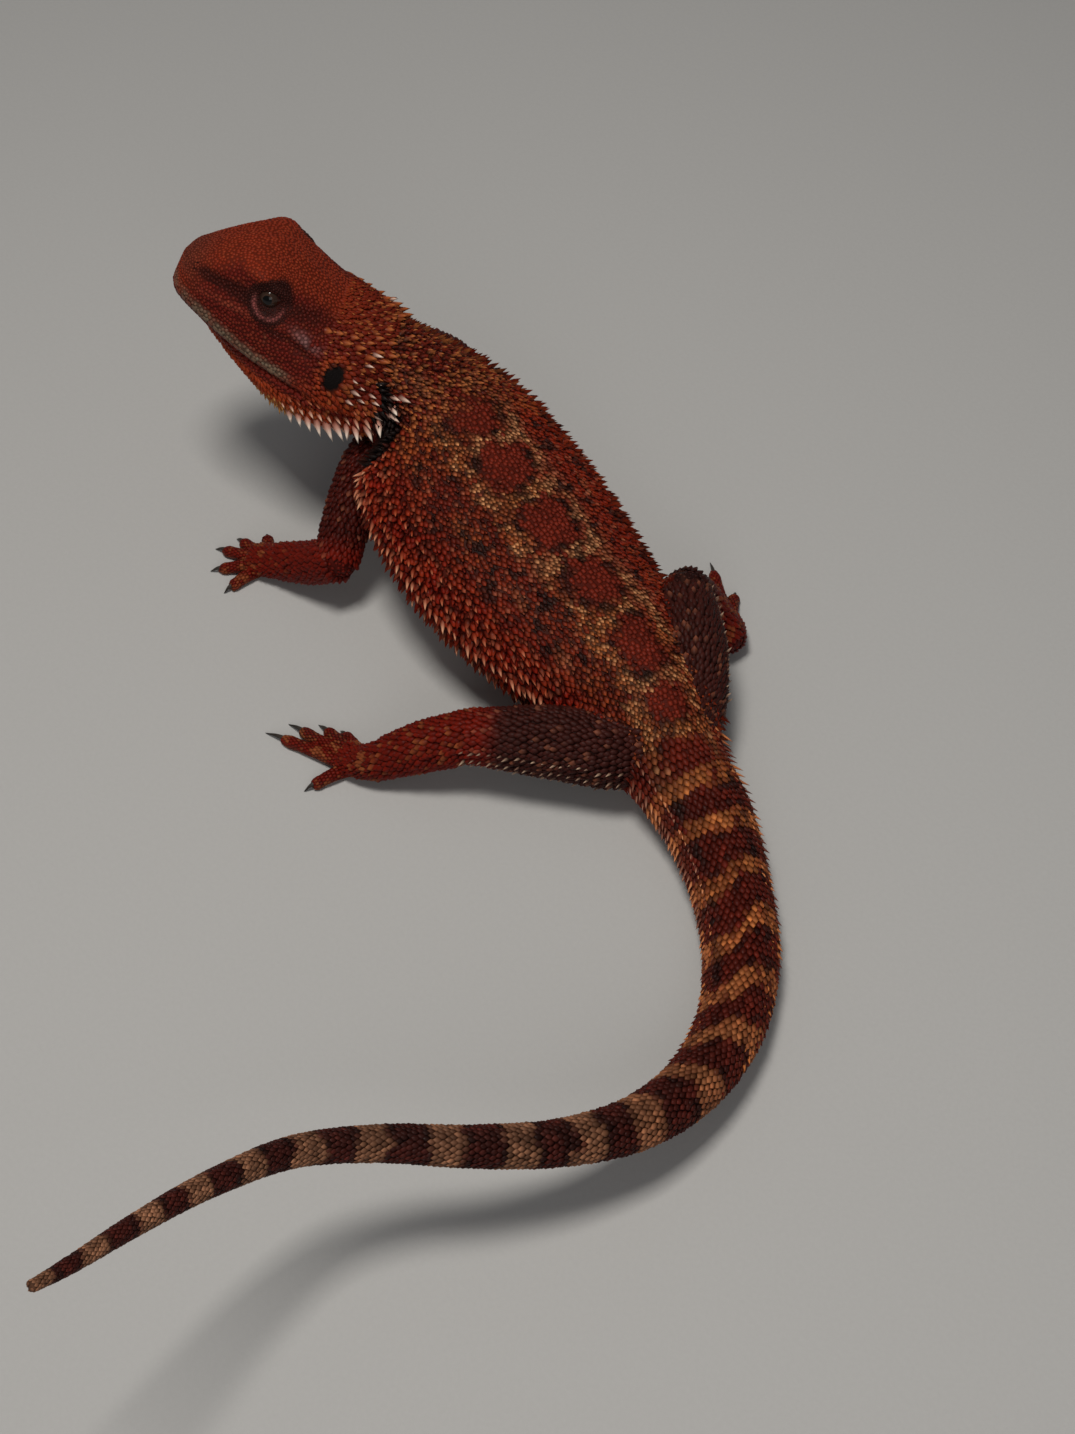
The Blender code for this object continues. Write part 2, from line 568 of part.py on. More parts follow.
def build_head(parent):
    """Head with eye sockets, lids, ear openings, nostrils, lips and the spines of the beard."""
    skeleton = Skeleton()
    axes = (HEAD_LEFT, HEAD_FORWARD, HEAD_UP)
    head = loft("head", head_rings())
    joined, cuts = [], []
    for mirror in (1, -1):
        lid_centre = (EYE[0], mirror * LID_OUT, EYE[2])
        rings = []
        for k in range(12):
            turn = 2 * math.pi * k / 12
            ring = []
            for j in range(6):
                roll = 2 * math.pi * j / 6
                reach = LID_RADIUS + LID_THICK * math.cos(roll)
                ring.append(head_to_model((lid_centre[0] + reach * LID_LONG * math.cos(turn),
                                           lid_centre[1] + mirror * LID_THICK * math.sin(roll),
                                           lid_centre[2] + reach * LID_LOW * math.sin(turn))))
            rings.append(ring)
        joined.append(hoop("lid", rings))
        place = np.array([EYE[0], mirror * EYE[1], EYE[2]])
        cuts.append(ellipsoid("socket", head_to_model(place), axes, [EYE_RADIUS + GAP] * 3, 10, 18))
        x, y, z, tall, long, deep = EAR
        cuts.append(ellipsoid("ear", head_to_model((x, mirror * y, z)), axes, (deep, long, tall), 6, 12))
        x, y, z, radius = NOSTRIL
        cuts.append(ellipsoid("nostril", head_to_model((x, mirror * y, z)), axes, [radius] * 3, 4, 6))
        eye = ellipsoid("eye_left" if mirror > 0 else "eye_right", head_to_model(place), axes,
                        [EYE_RADIUS] * 3, 10, 18)
        finish(eye, "eye", parent)
    apply_boolean(head, "UNION", joined + beard_spines(skeleton))
    apply_boolean(head, "DIFFERENCE", cuts)
    finish(head, "head", parent)


def hoop(name, rings):
    """A closed ring of rings, such as an eyelid."""
    sides, count = len(rings[0]), len(rings)
    faces = []
    for r in range(count):
        for k in range(sides):
            a, b = r * sides + k, r * sides + (k + 1) % sides
            c, d = ((r + 1) % count) * sides + (k + 1) % sides, ((r + 1) % count) * sides + k
            faces.append((a, b, c, d))
    return mesh_object(name, [p for ring in rings for p in ring], faces)


def build_trunk(skeleton, parent):
    """Neck, torso and the lengths of the tail."""
    body = skeleton.body
    knots = body.knots
    half_gap = GAP / 2
    neck = loft("neck", body.rings(knots[NECK_START] + half_gap, knots[-1], 4.0, TRUNK_SIDES))
    apply_boolean(neck, "UNION", neck_spines(skeleton))
    finish(neck, "neck", parent)
    torso = loft("torso", body.rings(knots[TORSO_REAR] + half_gap, knots[NECK_START] - half_gap,
                                     TRUNK_STEP, TRUNK_SIDES), floor=0.0)
    apply_boolean(torso, "UNION", flank_spines(skeleton))
    finish(torso, "torso", parent)
    for i, (first, last) in enumerate(zip(TAIL_CUTS[:-1], TAIL_CUTS[1:])):
        number = len(TAIL_CUTS) - 1 - i
        start = knots[first] + (half_gap if first else 0.0)
        end = knots[last] - half_gap
        tail = loft("tail_%d" % number, body.rings(start, end, TAIL_STEP, TAIL_SIDES), floor=0.0)
        if number <= 2:
            apply_boolean(tail, "UNION", tail_spines(skeleton, first, last))
        finish(tail, "tail", parent)


def digit(name, root, heading, reach, radius):
    """A toe or finger that rises to its knuckle and comes down to a hooked claw."""
    ahead = np.array([math.cos(heading), math.sin(heading), 0.0])
    stations = []
    for share, rise, thick in DIGIT_PROFILE:
        level = radius * DIGIT_LEVEL + (DIGIT_RISE - radius) * rise
        place = root[:2] + ahead[:2] * reach * share
        r = radius * thick
        stations.append((place[0], place[1], max(level, r * 0.6), r, r, r, 0.0))
    tube = Tube(stations)
    rings = [[tube.point(t, 2 * math.pi * k / DIGIT_SIDES) for k in range(DIGIT_SIDES)]
             for t in tube.knots]
    return loft(name, rings, floor=0.0)


def leg_digits(name, tube):
    """The five digits at the end of a leg."""
    centre, forward, left, _, (half, _, _) = tube.frame(tube.knots[-1] - 1.5)
    pieces = []
    for share, heading, reach in DIGITS[name]:
        outer = 1 if name.endswith("left") else -1
        spot = (share - 0.5) * 1.5 * half * outer
        back = 2.6 * abs(share - 0.5)
        root = centre + left * spot - forward * back
        pieces.append(digit("digit", root, math.radians(heading), reach, DIGIT_RADIUS))
    return pieces


def thigh_spines(skeleton, tube):
    """Pointed scales along the rear edge of a thigh."""
    pieces = []
    start, end = tube.knots[1] + 9.0, tube.knots[-1] - 2.0
    for i in range(THIGH_COUNT):
        t = start + (end - start) * i / (THIGH_COUNT - 1)
        centre, forward, left, _, _ = tube.frame(t)
        rear = unit(np.array([-1.0, 0, -0.1]) - forward * np.dot((-1.0, 0, -0.1), forward))
        angle = 0.0 if np.dot(left, rear) > 0 else math.pi
        root = tube.point(t, angle)
        pieces.append(spine("thigh_spine", root, rear + forward * THIGH_LEAN,
                            skeleton.vary(THIGH_LENGTH), NECK_RADIUS))
    return pieces


def trunk_cutter(skeleton):
    """The trunk grown a little, which trims what touches it."""
    body = skeleton.body
    return loft("trunk_cutter", body.rings(body.knots[TORSO_REAR - 2], body.knots[-1],
                                           TRUNK_STEP, TRUNK_SIDES, CUT_GROWTH))


def build_leg(skeleton, name, parent):
    """Three nodes of a leg: each starts inside the one before it and is trimmed clear of it."""
    pair, side = name.split("_")
    pieces = skeleton.legs[name]
    for number, (label, tube) in enumerate(zip(LEG_NODES[pair], pieces)):
        last = number == len(pieces) - 1
        rings = tube.rings(0.0, tube.knots[-1], PALM_STEP if last else LEG_STEP, LEG_SIDES)
        if not last:
            rings += dome_rings(tube, 0.0)
        node = loft("%s_%s" % (label, side), rings, floor=0.0)
        if last:
            apply_boolean(node, "UNION", leg_digits(name, tube))
        if label == "thigh":
            apply_boolean(node, "UNION", thigh_spines(skeleton, tube))
        cutters = [trunk_cutter(skeleton)]
        if number > 0:
            above = pieces[number - 1]
            grown = above.rings(0.0, above.knots[-1], LEG_STEP, LEG_SIDES, CUT_GROWTH)
            cutters.append(loft("leg_cutter", grown + dome_rings(above, CUT_GROWTH)))
        apply_boolean(node, "DIFFERENCE", cutters, "MANIFOLD")
        finish(node, "thigh" if label == "thigh" else "limb", parent)


def dome_rings(tube, grow):
    """Rings that round off the end of a tube, as a knee, an elbow or a heel does."""
    centre, forward, left, up, (half, top, _) = tube.frame(tube.knots[-1])
    rings = []
    for degrees in (32, 58, 80):
        lift, spread = math.sin(math.radians(degrees)), math.cos(math.radians(degrees))
        rings.append([centre + forward * (half * DOME + grow) * lift
                      + spread * (left * (half + grow) * math.cos(2 * math.pi * k / LEG_SIDES)
                                  + up * (top + grow) * math.sin(2 * math.pi * k / LEG_SIDES))
                      for k in range(LEG_SIDES)])
    return rings


def main():
    """Build the whole animal under one empty."""
    for obj in list(bpy.data.objects):
        bpy.data.objects.remove(obj, do_unlink=True)
    parent = bpy.data.objects.new("bearded_dragon", None)
    bpy.context.scene.collection.objects.link(parent)
    skeleton = Skeleton()
    build_head(parent)
    build_trunk(skeleton, parent)
    for name in LEGS:
        build_leg(skeleton, name, parent)


main()
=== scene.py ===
import json
import math

import bpy
import numpy as np
from bpy.props import FloatProperty, FloatVectorProperty, PointerProperty
from mathutils import Matrix, Vector
from mathutils.bvhtree import BVHTree
from mathutils.kdtree import KDTree

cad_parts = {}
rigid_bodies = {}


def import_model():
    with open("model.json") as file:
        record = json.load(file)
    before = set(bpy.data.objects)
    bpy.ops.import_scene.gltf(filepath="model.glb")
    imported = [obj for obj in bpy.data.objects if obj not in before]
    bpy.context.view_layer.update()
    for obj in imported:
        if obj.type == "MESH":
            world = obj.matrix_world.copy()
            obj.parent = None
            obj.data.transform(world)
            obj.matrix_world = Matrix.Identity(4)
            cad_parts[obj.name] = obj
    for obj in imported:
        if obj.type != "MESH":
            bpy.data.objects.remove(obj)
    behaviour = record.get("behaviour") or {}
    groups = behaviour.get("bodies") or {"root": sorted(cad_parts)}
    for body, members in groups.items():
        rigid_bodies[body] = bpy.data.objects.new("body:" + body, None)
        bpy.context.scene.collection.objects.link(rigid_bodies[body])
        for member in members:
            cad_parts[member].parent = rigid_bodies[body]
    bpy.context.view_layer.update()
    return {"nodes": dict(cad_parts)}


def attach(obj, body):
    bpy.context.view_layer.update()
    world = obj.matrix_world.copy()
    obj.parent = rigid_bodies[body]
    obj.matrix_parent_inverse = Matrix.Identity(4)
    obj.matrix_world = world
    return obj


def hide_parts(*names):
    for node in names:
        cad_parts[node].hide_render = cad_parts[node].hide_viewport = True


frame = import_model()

bl_info = {
    "name": "Central bearded dragon",
    "version": (1, 0, 0),
    "blender": (4, 5, 0),
    "location": "3D View > Sidebar > Dragon",
    "description": "Builds the skin, scales, spines, eyes and claws of a red bearded dragon on its solids",
    "category": "Add Mesh",
}

# Lengths are in millimetres in the model's frame: X forward along the trunk, Y left, Z up
MM = 0.001
SEED = 23

# Spine, from the tip of the tail to the back of the head:
# x, y, z of the widest level, half width, height above it, depth below it, roll in degrees
SPINE = [
    (-57.5, 204.5, 81.0, 1.1, 1.1, 1.1, 0),
    (-56.5, 198.0, 77.0, 1.5, 1.5, 1.5, 0),
    (-53.5, 182.5, 68.0, 2.1, 2.1, 2.1, 0),
    (-50.5, 163.0, 56.0, 2.7, 2.6, 2.6, 0),
    (-51.0, 143.5, 45.0, 3.3, 3.2, 3.2, 0),
    (-57.5, 128.0, 38.0, 3.8, 3.7, 3.7, 0),
    (-68.0, 112.0, 32.0, 4.3, 4.2, 4.2, 0),
    (-77.0, 94.5, 25.0, 4.8, 4.8, 4.8, 0),
    (-82.0, 75.0, 18.0, 5.8, 5.5, 5.5, 0),
    (-80.5, 56.0, 12.5, 6.7, 6.5, 6.5, 0),
    (-74.0, 39.5, 9.5, 7.6, 7.5, 7.5, 0),
    (-61.0, 24.0, 8.3, 8.6, 8.3, 8.5, 0),
    (-45.0, 13.0, 9.0, 9.4, 9.2, 9.2, 0),
    (-26.0, 4.5, 11.0, 11.4, 10.6, 10.6, 0),
    (-13.0, 2.0, 14.0, 12.8, 12.3, 14.1, 1),
    (0.0, -2.0, 16.0, 17.0, 16.0, 17.2, 4),
    (23.5, -5.5, 18.5, 25.0, 18.5, 19.0, 8),
    (43.0, -5.5, 22.0, 30.0, 19.5, 19.2, 10),
    (62.5, -6.5, 26.5, 32.5, 20.0, 19.0, 10),
    (82.0, -9.0, 31.0, 31.5, 19.5, 18.0, 10),
    (100.0, -12.0, 37.0, 27.0, 18.0, 17.0, 10),
    (109.5, -10.8, 42.5, 21.5, 16.0, 15.5, 11),
    (115.0, -8.8, 46.5, 18.5, 15.0, 14.0, 12),
]
VENT, SHOULDER, NECK = 14, 20, 21        # stations of the vent, the shoulders and the neck
TAIL_SPINES, FLANK_SPINES = 9, 16        # stations at which the spines of tail and flanks start
LENS = 1.15
HEAD_BASE = (127.0, -1.0, 51.5)
HEAD_YAW, HEAD_PITCH, HEAD_ROLL = 38.0, 24.0, 12.0
HEAD_REAR, NECK_AXIS_LIFT = -10.0, 2.5
# x ahead of the ears, mouth level, crown, chin, half width, squareness above and below
HEAD = np.array([
    (-10.0, -1.0, 15.0, -10.5, 17.5, 2.3, 2.3),
    (-6.0, -1.1, 16.1, -12.0, 20.3, 2.3, 2.6),
    (-1.0, -1.2, 16.9, -13.2, 21.8, 2.3, 2.9),
    (5.0, -1.2, 18.0, -13.9, 22.0, 2.4, 3.0),
    (11.0, -1.2, 19.6, -13.5, 21.4, 2.5, 3.0),
    (17.0, -1.2, 21.7, -12.2, 20.1, 2.8, 2.9),
    (23.0, -1.2, 23.5, -10.3, 18.6, 3.4, 2.7),
    (29.0, -0.6, 24.6, -8.6, 17.2, 3.9, 2.4),
    (35.0, 0.3, 22.7, -6.6, 15.3, 3.6, 2.1),
    (40.5, 1.0, 18.9, -4.6, 13.0, 3.2, 2.0),
    (45.5, 1.5, 14.9, -2.8, 10.2, 2.8, 1.9),
    (48.8, 2.0, 11.8, -1.0, 6.9, 2.5, 1.9),
    (50.4, 2.8, 8.6, 0.8, 3.1, 2.2, 2.0),
])
HEAD_TIP = HEAD[-1, 0]
LIP_STEP, LIP_TAPER, MOUTH_GROOVE, GROOVE_REACH = 0.96, 0.24, 1.0, 0.9
MOUTH_CORNER, LIP_SWELL, UPPER_LIP, LOWER_LIP, LIP_REACH = 4.5, 0.5, 2.0, -2.2, 1.6
ORBIT = (25.0, 17.3, 6.5, 1.6)           # x, z, radius and depth of the hollow round the eye
BROW = (29.0, 13.6, 21.6)
BROW_LENGTH, BROW_REACH, BROW_RISE, BROW_SWELL = 9.0, 4.0, 0.64, 2.0
EYE, EYE_RADIUS = (24.9, 11.7, 16.5), 4.5
EYE_AXIS = (0.16, 1.0, 0.10)             # where the left eye looks, in the head's frame
JOWL = (-9.4, 15.6, -0.4)                # pad of the jaw that reaches back over the neck
JOWL_RADII = (8.0, 5.0, 8.6)
BEARD_EDGE = [(24.0, 12.0, -9.6), (20.0, 14.0, -10.4), (10.0, 18.0, -10.0), (4.5, 19.5, -8.6),
              (-1.3, 20.3, -7.6), (-6.3, 20.4, -6.2), (-11.0, 20.2, -3.2), (-14.5, 19.2, 1.0),
              (-16.6, 17.6, 5.0)]
EAR = (2.0, 21.3, 6.6, 3.9, 3.0, 3.0)    # x, y, z, half height, half length, depth
NOSTRIL = (45.8, 7.9, 11.6, 0.95)
# Pale spines behind the ear, at the rear of the jowl and at the corner of the crown: x, y, z, length
EAR_SPINES = [
    (-3.0, 21.4, 9.0, 2.6), (-4.2, 21.4, 5.8, 3.4), (-3.6, 21.4, 2.6, 2.8), (-5.6, 20.6, 7.4, 2.6),
    (-6.4, 20.4, 3.8, 2.8), (-16.4, 17.0, 7.6, 4.4), (-16.8, 17.4, 2.6, 4.6), (-13.6, 18.6, 8.0, 3.4),
    (-14.6, 19.0, 4.6, 3.8), (-12.0, 19.8, 1.6, 3.2), (-10.0, 20.2, 5.0, 2.8), (-4.0, 15.5, 15.2, 3.6),
    (-5.6, 14.0, 15.6, 3.2), (-5.0, 17.4, 13.6, 2.8), (-9.0, 17.0, 9.0, 2.6), (-8.6, 18.4, 5.4, 2.4)]
# Large spines over the nape: x, angle round the head in degrees, length
NAPE_CREST = [
    (8.4, 52, 1.7), (5.6, 56, 2.3), (3.0, 52, 3.1), (1.6, 60, 2.6), (-0.6, 54, 3.8), (-2.6, 62, 3.2),
    (-3.8, 50, 4.3), (-5.6, 58, 4.2), (-7.4, 52, 4.5), (-9.0, 60, 4.2), (-9.6, 46, 3.8), (-4.4, 70, 3.0),
    (-8.0, 72, 3.4), (-6.2, 84, 2.6), (-1.6, 76, 2.0)]

# Legs: x, y, z and radius from the root inside the trunk, through elbow or knee, to the toes
LEGS = {
    "fore_left": [
        (107.5, -4.0, 36.0, 7.0), (107.5, 4.5, 33.0, 7.2), (102.5, 17.5, 26.0, 6.3),
        (96.0, 28.0, 17.5, 5.6), (105.5, 31.5, 10.5, 5.3), (114.0, 35.0, 6.2, 4.6),
        (118.5, 37.0, 4.3, 4.9), (122.5, 38.6, 3.2, 4.2)],
    "fore_right": [
        (104.0, -22.0, 34.0, 7.0), (110.0, -30.0, 31.5, 7.2), (123.5, -34.5, 31.0, 6.3),
        (136.5, -37.0, 26.0, 5.6), (148.5, -39.0, 15.5, 5.3), (158.0, -39.5, 6.4, 4.6),
        (162.5, -38.5, 4.3, 4.9), (166.0, -37.0, 3.2, 4.2)],
    "hind_left": [
        (-6.0, 2.0, 16.5, 8.0), (-3.0, 8.0, 16.5, 8.6), (11.0, 22.0, 17.5, 8.4),
        (26.5, 37.0, 17.0, 6.4), (35.0, 47.5, 12.0, 5.9), (42.0, 56.5, 6.6, 4.4),
        (46.0, 58.7, 4.6, 4.6), (51.0, 60.0, 3.4, 3.9)],
    "hind_right": [
        (-8.0, -4.0, 17.0, 8.0), (-3.0, -11.0, 18.0, 8.6), (9.0, -22.5, 23.0, 8.4),
        (22.0, -31.5, 25.5, 6.6), (20.0, -38.0, 15.5, 5.9), (14.0, -41.5, 7.0, 4.4),
        (18.0, -45.0, 4.6, 4.6), (25.0, -47.6, 3.4, 3.9)],
}
LEG_BEND, LEG_WRIST = 3, 5
LEG_PIECES = [(0, LEG_BEND), (LEG_BEND, LEG_WRIST), (LEG_WRIST, 7)]
JOINT_SUNK, DOME, PALM_FLAT, THIGH_DEEP = 0.2, 0.85, 0.72, 1.12
# Each digit: where it leaves the palm (0 inner, 1 outer), heading from +X, reach to the claw tip
DIGITS = {
    "fore_left": [(0.0, -30, 9.5), (0.25, 5, 12.5), (0.5, 25, 14.5), (0.75, 52, 13.5), (1.0, 88, 11.0)],
    "fore_right": [(0.0, 75, 9.5), (0.25, 42, 12.5), (0.5, 18, 14.5), (0.75, -5, 13.5), (1.0, -38, 11.0)],
    "hind_left": [(0.0, -6, 11.0), (0.2, 3, 16.0), (0.5, 13, 21.5), (0.8, 22, 25.5), (1.0, 78, 12.0)],
    "hind_right": [(0.0, 15, 10.0), (0.2, -5, 14.5), (0.5, -18, 18.0), (0.8, -32, 22.0), (1.0, -52, 11.0)],
}
DIGIT_RADIUS, DIGIT_RISE, DIGIT_LEVEL, CLAW_SHARE = 1.75, 3.4, 0.7, 0.26
# Along a digit: share of its reach, rise and thickness
DIGIT_PROFILE = [(-0.12, 0.0, 0.9), (0.3, 0.6, 0.95), (0.55, 0.3, 0.86),
                 (1 - CLAW_SHARE, 0.0, 0.78), (1.06 - CLAW_SHARE, 0.05, 0.45)]

# Pale bands: length along the spine and the number of the band that is centred there
BANDS = [(16.0, 0), (72.0, 4), (136.0, 8), (197.0, 12), (243.0, 15), (269.0, 17),
         (281.0, 18), (303.0, 19), (385.0, 23)]

# Folds round the eye: radius, thickness, how far out, length and height as shares, drop
LIDS = [(3.45, 0.72, 15.1, 1.18, 0.92, 0.0), (5.0, 0.85, 14.7, 1.14, 0.88, -0.30)]
# Degrees from the middle of the eye at which pupil, iris and the visible ball end
PUPIL_EDGE, IRIS_EDGE, BALL_EDGE = (14.5, 16.0), (29, 36), (40, 46)
PUPIL_BLACK = (0.002, 0.002, 0.002)
CLAW_RINGS, CLAW_SIDES = 12, 10
# Rings of the parts that are joined in one skin: step between them and number of sides
BODY_RINGS, LEG_RINGS, TOE_RINGS = (1.2, 96), (0.9, 40), (0.5, 20)

SKIN_KEPT = 0.34                         # share of the skin's triangles that stay
TRUNK_TRIES, HEAD_TRIES, FILL_TRIES = 210000, 115000, 90000   # random points tried for scales
FILL_GAP = 0.92                          # least distance of a granule from any other scale
LEAST_HEIGHT = 0.02                      # scales stay this far above the floor
BAKE_PATCH = 0.003                       # width of a scale's patch in the bake map
EAR_SIDE, FAR_FROM_EAR = 12.0, 9.0       # least y on the ear's side, and the distance given to others
# How far the skin may lie from the tube on which its scales are laid out
OFF_TUBE = {"tail": 0.9, "trunk": 1.3, "leg": 0.7, "toe": 0.35, "spine": 1.0}
FLANKS = ((0.0, 1), (math.pi, -1))       # angle of each flank and the way up from it
TAIL_CLEAR, TAIL_FLAT = (125, 222), (170, 40)   # where bands grow clearer and keels grow flatter
NECK_ROW_GAP, NECK_SPINE_TURN = 2.6, 12.0       # between rows, and degrees from spine to spine

FLOOR_HALF = 12000.0
AIR_COLOUR, AIR_STRENGTH = (0.93, 0.96, 1.0, 1.0), 0.12
# Lamps: place and target in millimetres, size in metres, power, colour
LAMPS = {
    "ceiling_light": ((40, 160, 900), (40, 20, 0), 0.22, 4.9, (1.0, 0.96, 0.90)),
    "side_light": ((-520, 420, 420), (70, 0, 30), 0.4, 0.9, (1.0, 0.97, 0.94)),
}
CAMERA_RIGHT, CAMERA_UP = (-0.6391, -0.7691, 0.0), (0.6142, -0.5104, 0.6018)
CAMERA_PLACE = (-0.2290, 0.2273)         # x and y; the height is a property
SENSOR_HEIGHT, FOCAL_LENGTHS = 36.0, 2100.0 / 1434.0   # focal length in heights of the picture
GLOSS, WET_ROUGHNESS, BUMP_DEPTH = 0.12, 0.06, 0.0001


def measure(name, value, words):
    """A length in metres that the user may change."""
    return FloatProperty(name=name, description=words, default=value, unit="LENGTH")


def swatch(name, value, words):
    """A colour that the user may change."""
    return FloatVectorProperty(name=name, description=words, default=value, size=3, min=0.0, max=1.0,
                               subtype="COLOR")


class DragonSizes(bpy.types.PropertyGroup):
    """Sizes of the skin, its scales and spines, and the camera's height."""
    voxel: measure("Skin cell", 0.0005, "Cell of the mesh that joins the body parts")
    back_pitch: measure("Back scale", 0.00122, "Spacing of the scales on the back")
    tail_pitch: measure("Tail scale", 0.00165, "Spacing at the base of the tail")
    tip_pitch: measure("Tail tip scale", 0.00085, "Spacing at the tip of the tail")
    limb_pitch: measure("Leg scale", 0.00155, "Spacing of the scales on the legs")
    toe_pitch: measure("Toe scale", 0.00100, "Spacing of the scales on the toes")
    head_pitch: measure("Head scale", 0.00098, "Spacing of the scales on the crown")
    lid_pitch: measure("Lid scale", 0.00066, "Spacing of the beads round the eye")
    relief: FloatProperty(name="Relief", description="Height of a scale beside its width",
                          default=0.42, min=0.0, max=2.0)
    spine_length: FloatProperty(name="Spine length", description="Factor on the length of all spines",
                                default=1.0, min=0.2, max=2.0)
    camera_height: measure("Camera height", 0.4472, "Height of the camera's eye")


class DragonColours(bpy.types.PropertyGroup):
    """Colours of the animal, as they are in even light."""
    crown: swatch("Crown", (0.205, 0.0215, 0.0062), "top of the head")
    cheek: swatch("Cheek", (0.118, 0.0095, 0.0048), "sides of the head")
    snout: swatch("Snout", (0.115, 0.026, 0.015), "tip of the snout")
    stripe: swatch("Eye stripe", (0.03, 0.005, 0.003), "band through the eye")
    lavender: swatch("Temple", (0.15, 0.07, 0.066), "greyish patch behind the eye")
    lip: swatch("Lip", (0.14, 0.10, 0.066), "margin of the upper lip")
    beard: swatch("Beard", (0.29, 0.036, 0.008), "lower jaw and beard")
    beard_edge: swatch("Beard edge", (0.40, 0.20, 0.055), "yellow scales at the beard's edge")
    ivory: swatch("Ivory", (0.92, 0.79, 0.66), "long spines of the beard")
    rose: swatch("Rose", (0.52, 0.175, 0.09), "spines behind the ear")
    mahogany: swatch("Mahogany", (0.1, 0.0095, 0.0042), "dark red of the back")
    brick: swatch("Brick", (0.15, 0.015, 0.006), "red between the markings")
    rust: swatch("Rust", (0.42, 0.062, 0.016), "orange tips of the back's scales")
    tan: swatch("Tan", (0.62, 0.29, 0.125), "pale network of the back")
    gold: swatch("Gold", (0.5, 0.155, 0.042), "pale bands at the base of the tail")
    # Soot, taken near black, also paints the shade in the ear openings and nostrils
    soot: swatch("Soot", (0.01, 0.004, 0.003), "dark spots")
    flank: swatch("Flank", (0.215, 0.0115, 0.0026), "orange red of the sides")
    belly: swatch("Belly", (0.34, 0.13, 0.06), "underside")
    tail_dark: swatch("Tail dark", (0.045, 0.0075, 0.005), "dark bands of the tail")
    tail_pale: swatch("Tail pale", (0.195, 0.088, 0.047), "pale bands of the tail")
    thigh: swatch("Thigh", (0.037, 0.0072, 0.005), "grey brown of thighs and knees")
    maroon: swatch("Maroon", (0.046, 0.0036, 0.0016), "upper arms")
    limb: swatch("Limb", (0.125, 0.0062, 0.0018), "orange red of forearms and shanks")
    limb_pale: swatch("Limb pale", (0.34, 0.105, 0.032), "pale spots and edges of the legs")
    claw: swatch("Claw", (0.04, 0.032, 0.028), "claws")
    iris: swatch("Iris", (0.04, 0.02, 0.013), "iris of the eye")
    floor: swatch("Floor", (0.49, 0.487, 0.48), "floor under the model")


def unit(v):
    """Vectors at length 1, along the last axis."""
    v = np.asarray(v, float)
    return v / np.maximum(np.linalg.norm(v, axis=-1, keepdims=True), 1e-12)


def smooth_curve(knots, values, t):
    """Smooth curve through the values at the knots, read at every t, with its slope."""
    knots, values = np.asarray(knots, float), np.asarray(values, float)
    if values.ndim == 1:
        values = values[:, None]
    t = np.atleast_1d(np.asarray(t, float))
    step = np.diff(knots)
    rise = np.diff(values, axis=0) / step[:, None]
    slope = np.vstack([rise[:1], (rise[:-1] * step[1:, None] + rise[1:] * step[:-1, None])
                       / (step[1:] + step[:-1])[:, None], rise[-1:]])
    i = np.clip(np.searchsorted(knots, t, side="right") - 1, 0, len(step) - 1)
    h = step[i][:, None]
    s = (t - knots[i])[:, None] / h
    value = ((2 * s**3 - 3 * s**2 + 1) * values[i] + (s**3 - 2 * s**2 + s) * h * slope[i]
             + (3 * s**2 - 2 * s**3) * values[i + 1] + (s**3 - s**2) * h * slope[i + 1])
    speed = ((6 * s**2 - 6 * s) / h * values[i] + (3 * s**2 - 4 * s + 1) * slope[i]
             + (6 * s - 6 * s**2) / h * values[i + 1] + (3 * s**2 - 2 * s) * slope[i + 1])
    return value, speed


def signed_power(value, power):
    """Power of the size of numbers, with their signs kept."""
    return np.sign(value) * np.abs(value) ** power


def bump(x, centre, reach):
    """A smooth hill of height 1 and the given reach."""
    s = np.minimum(1.0, np.abs(x - centre) / reach)
    return (1 - s * s) ** 2


def ramp(x, low, high):
    """0 below low, 1 above high and smooth between."""
    s = np.clip((x - low) / (high - low), 0, 1)
    return s * s * (3 - 2 * s)


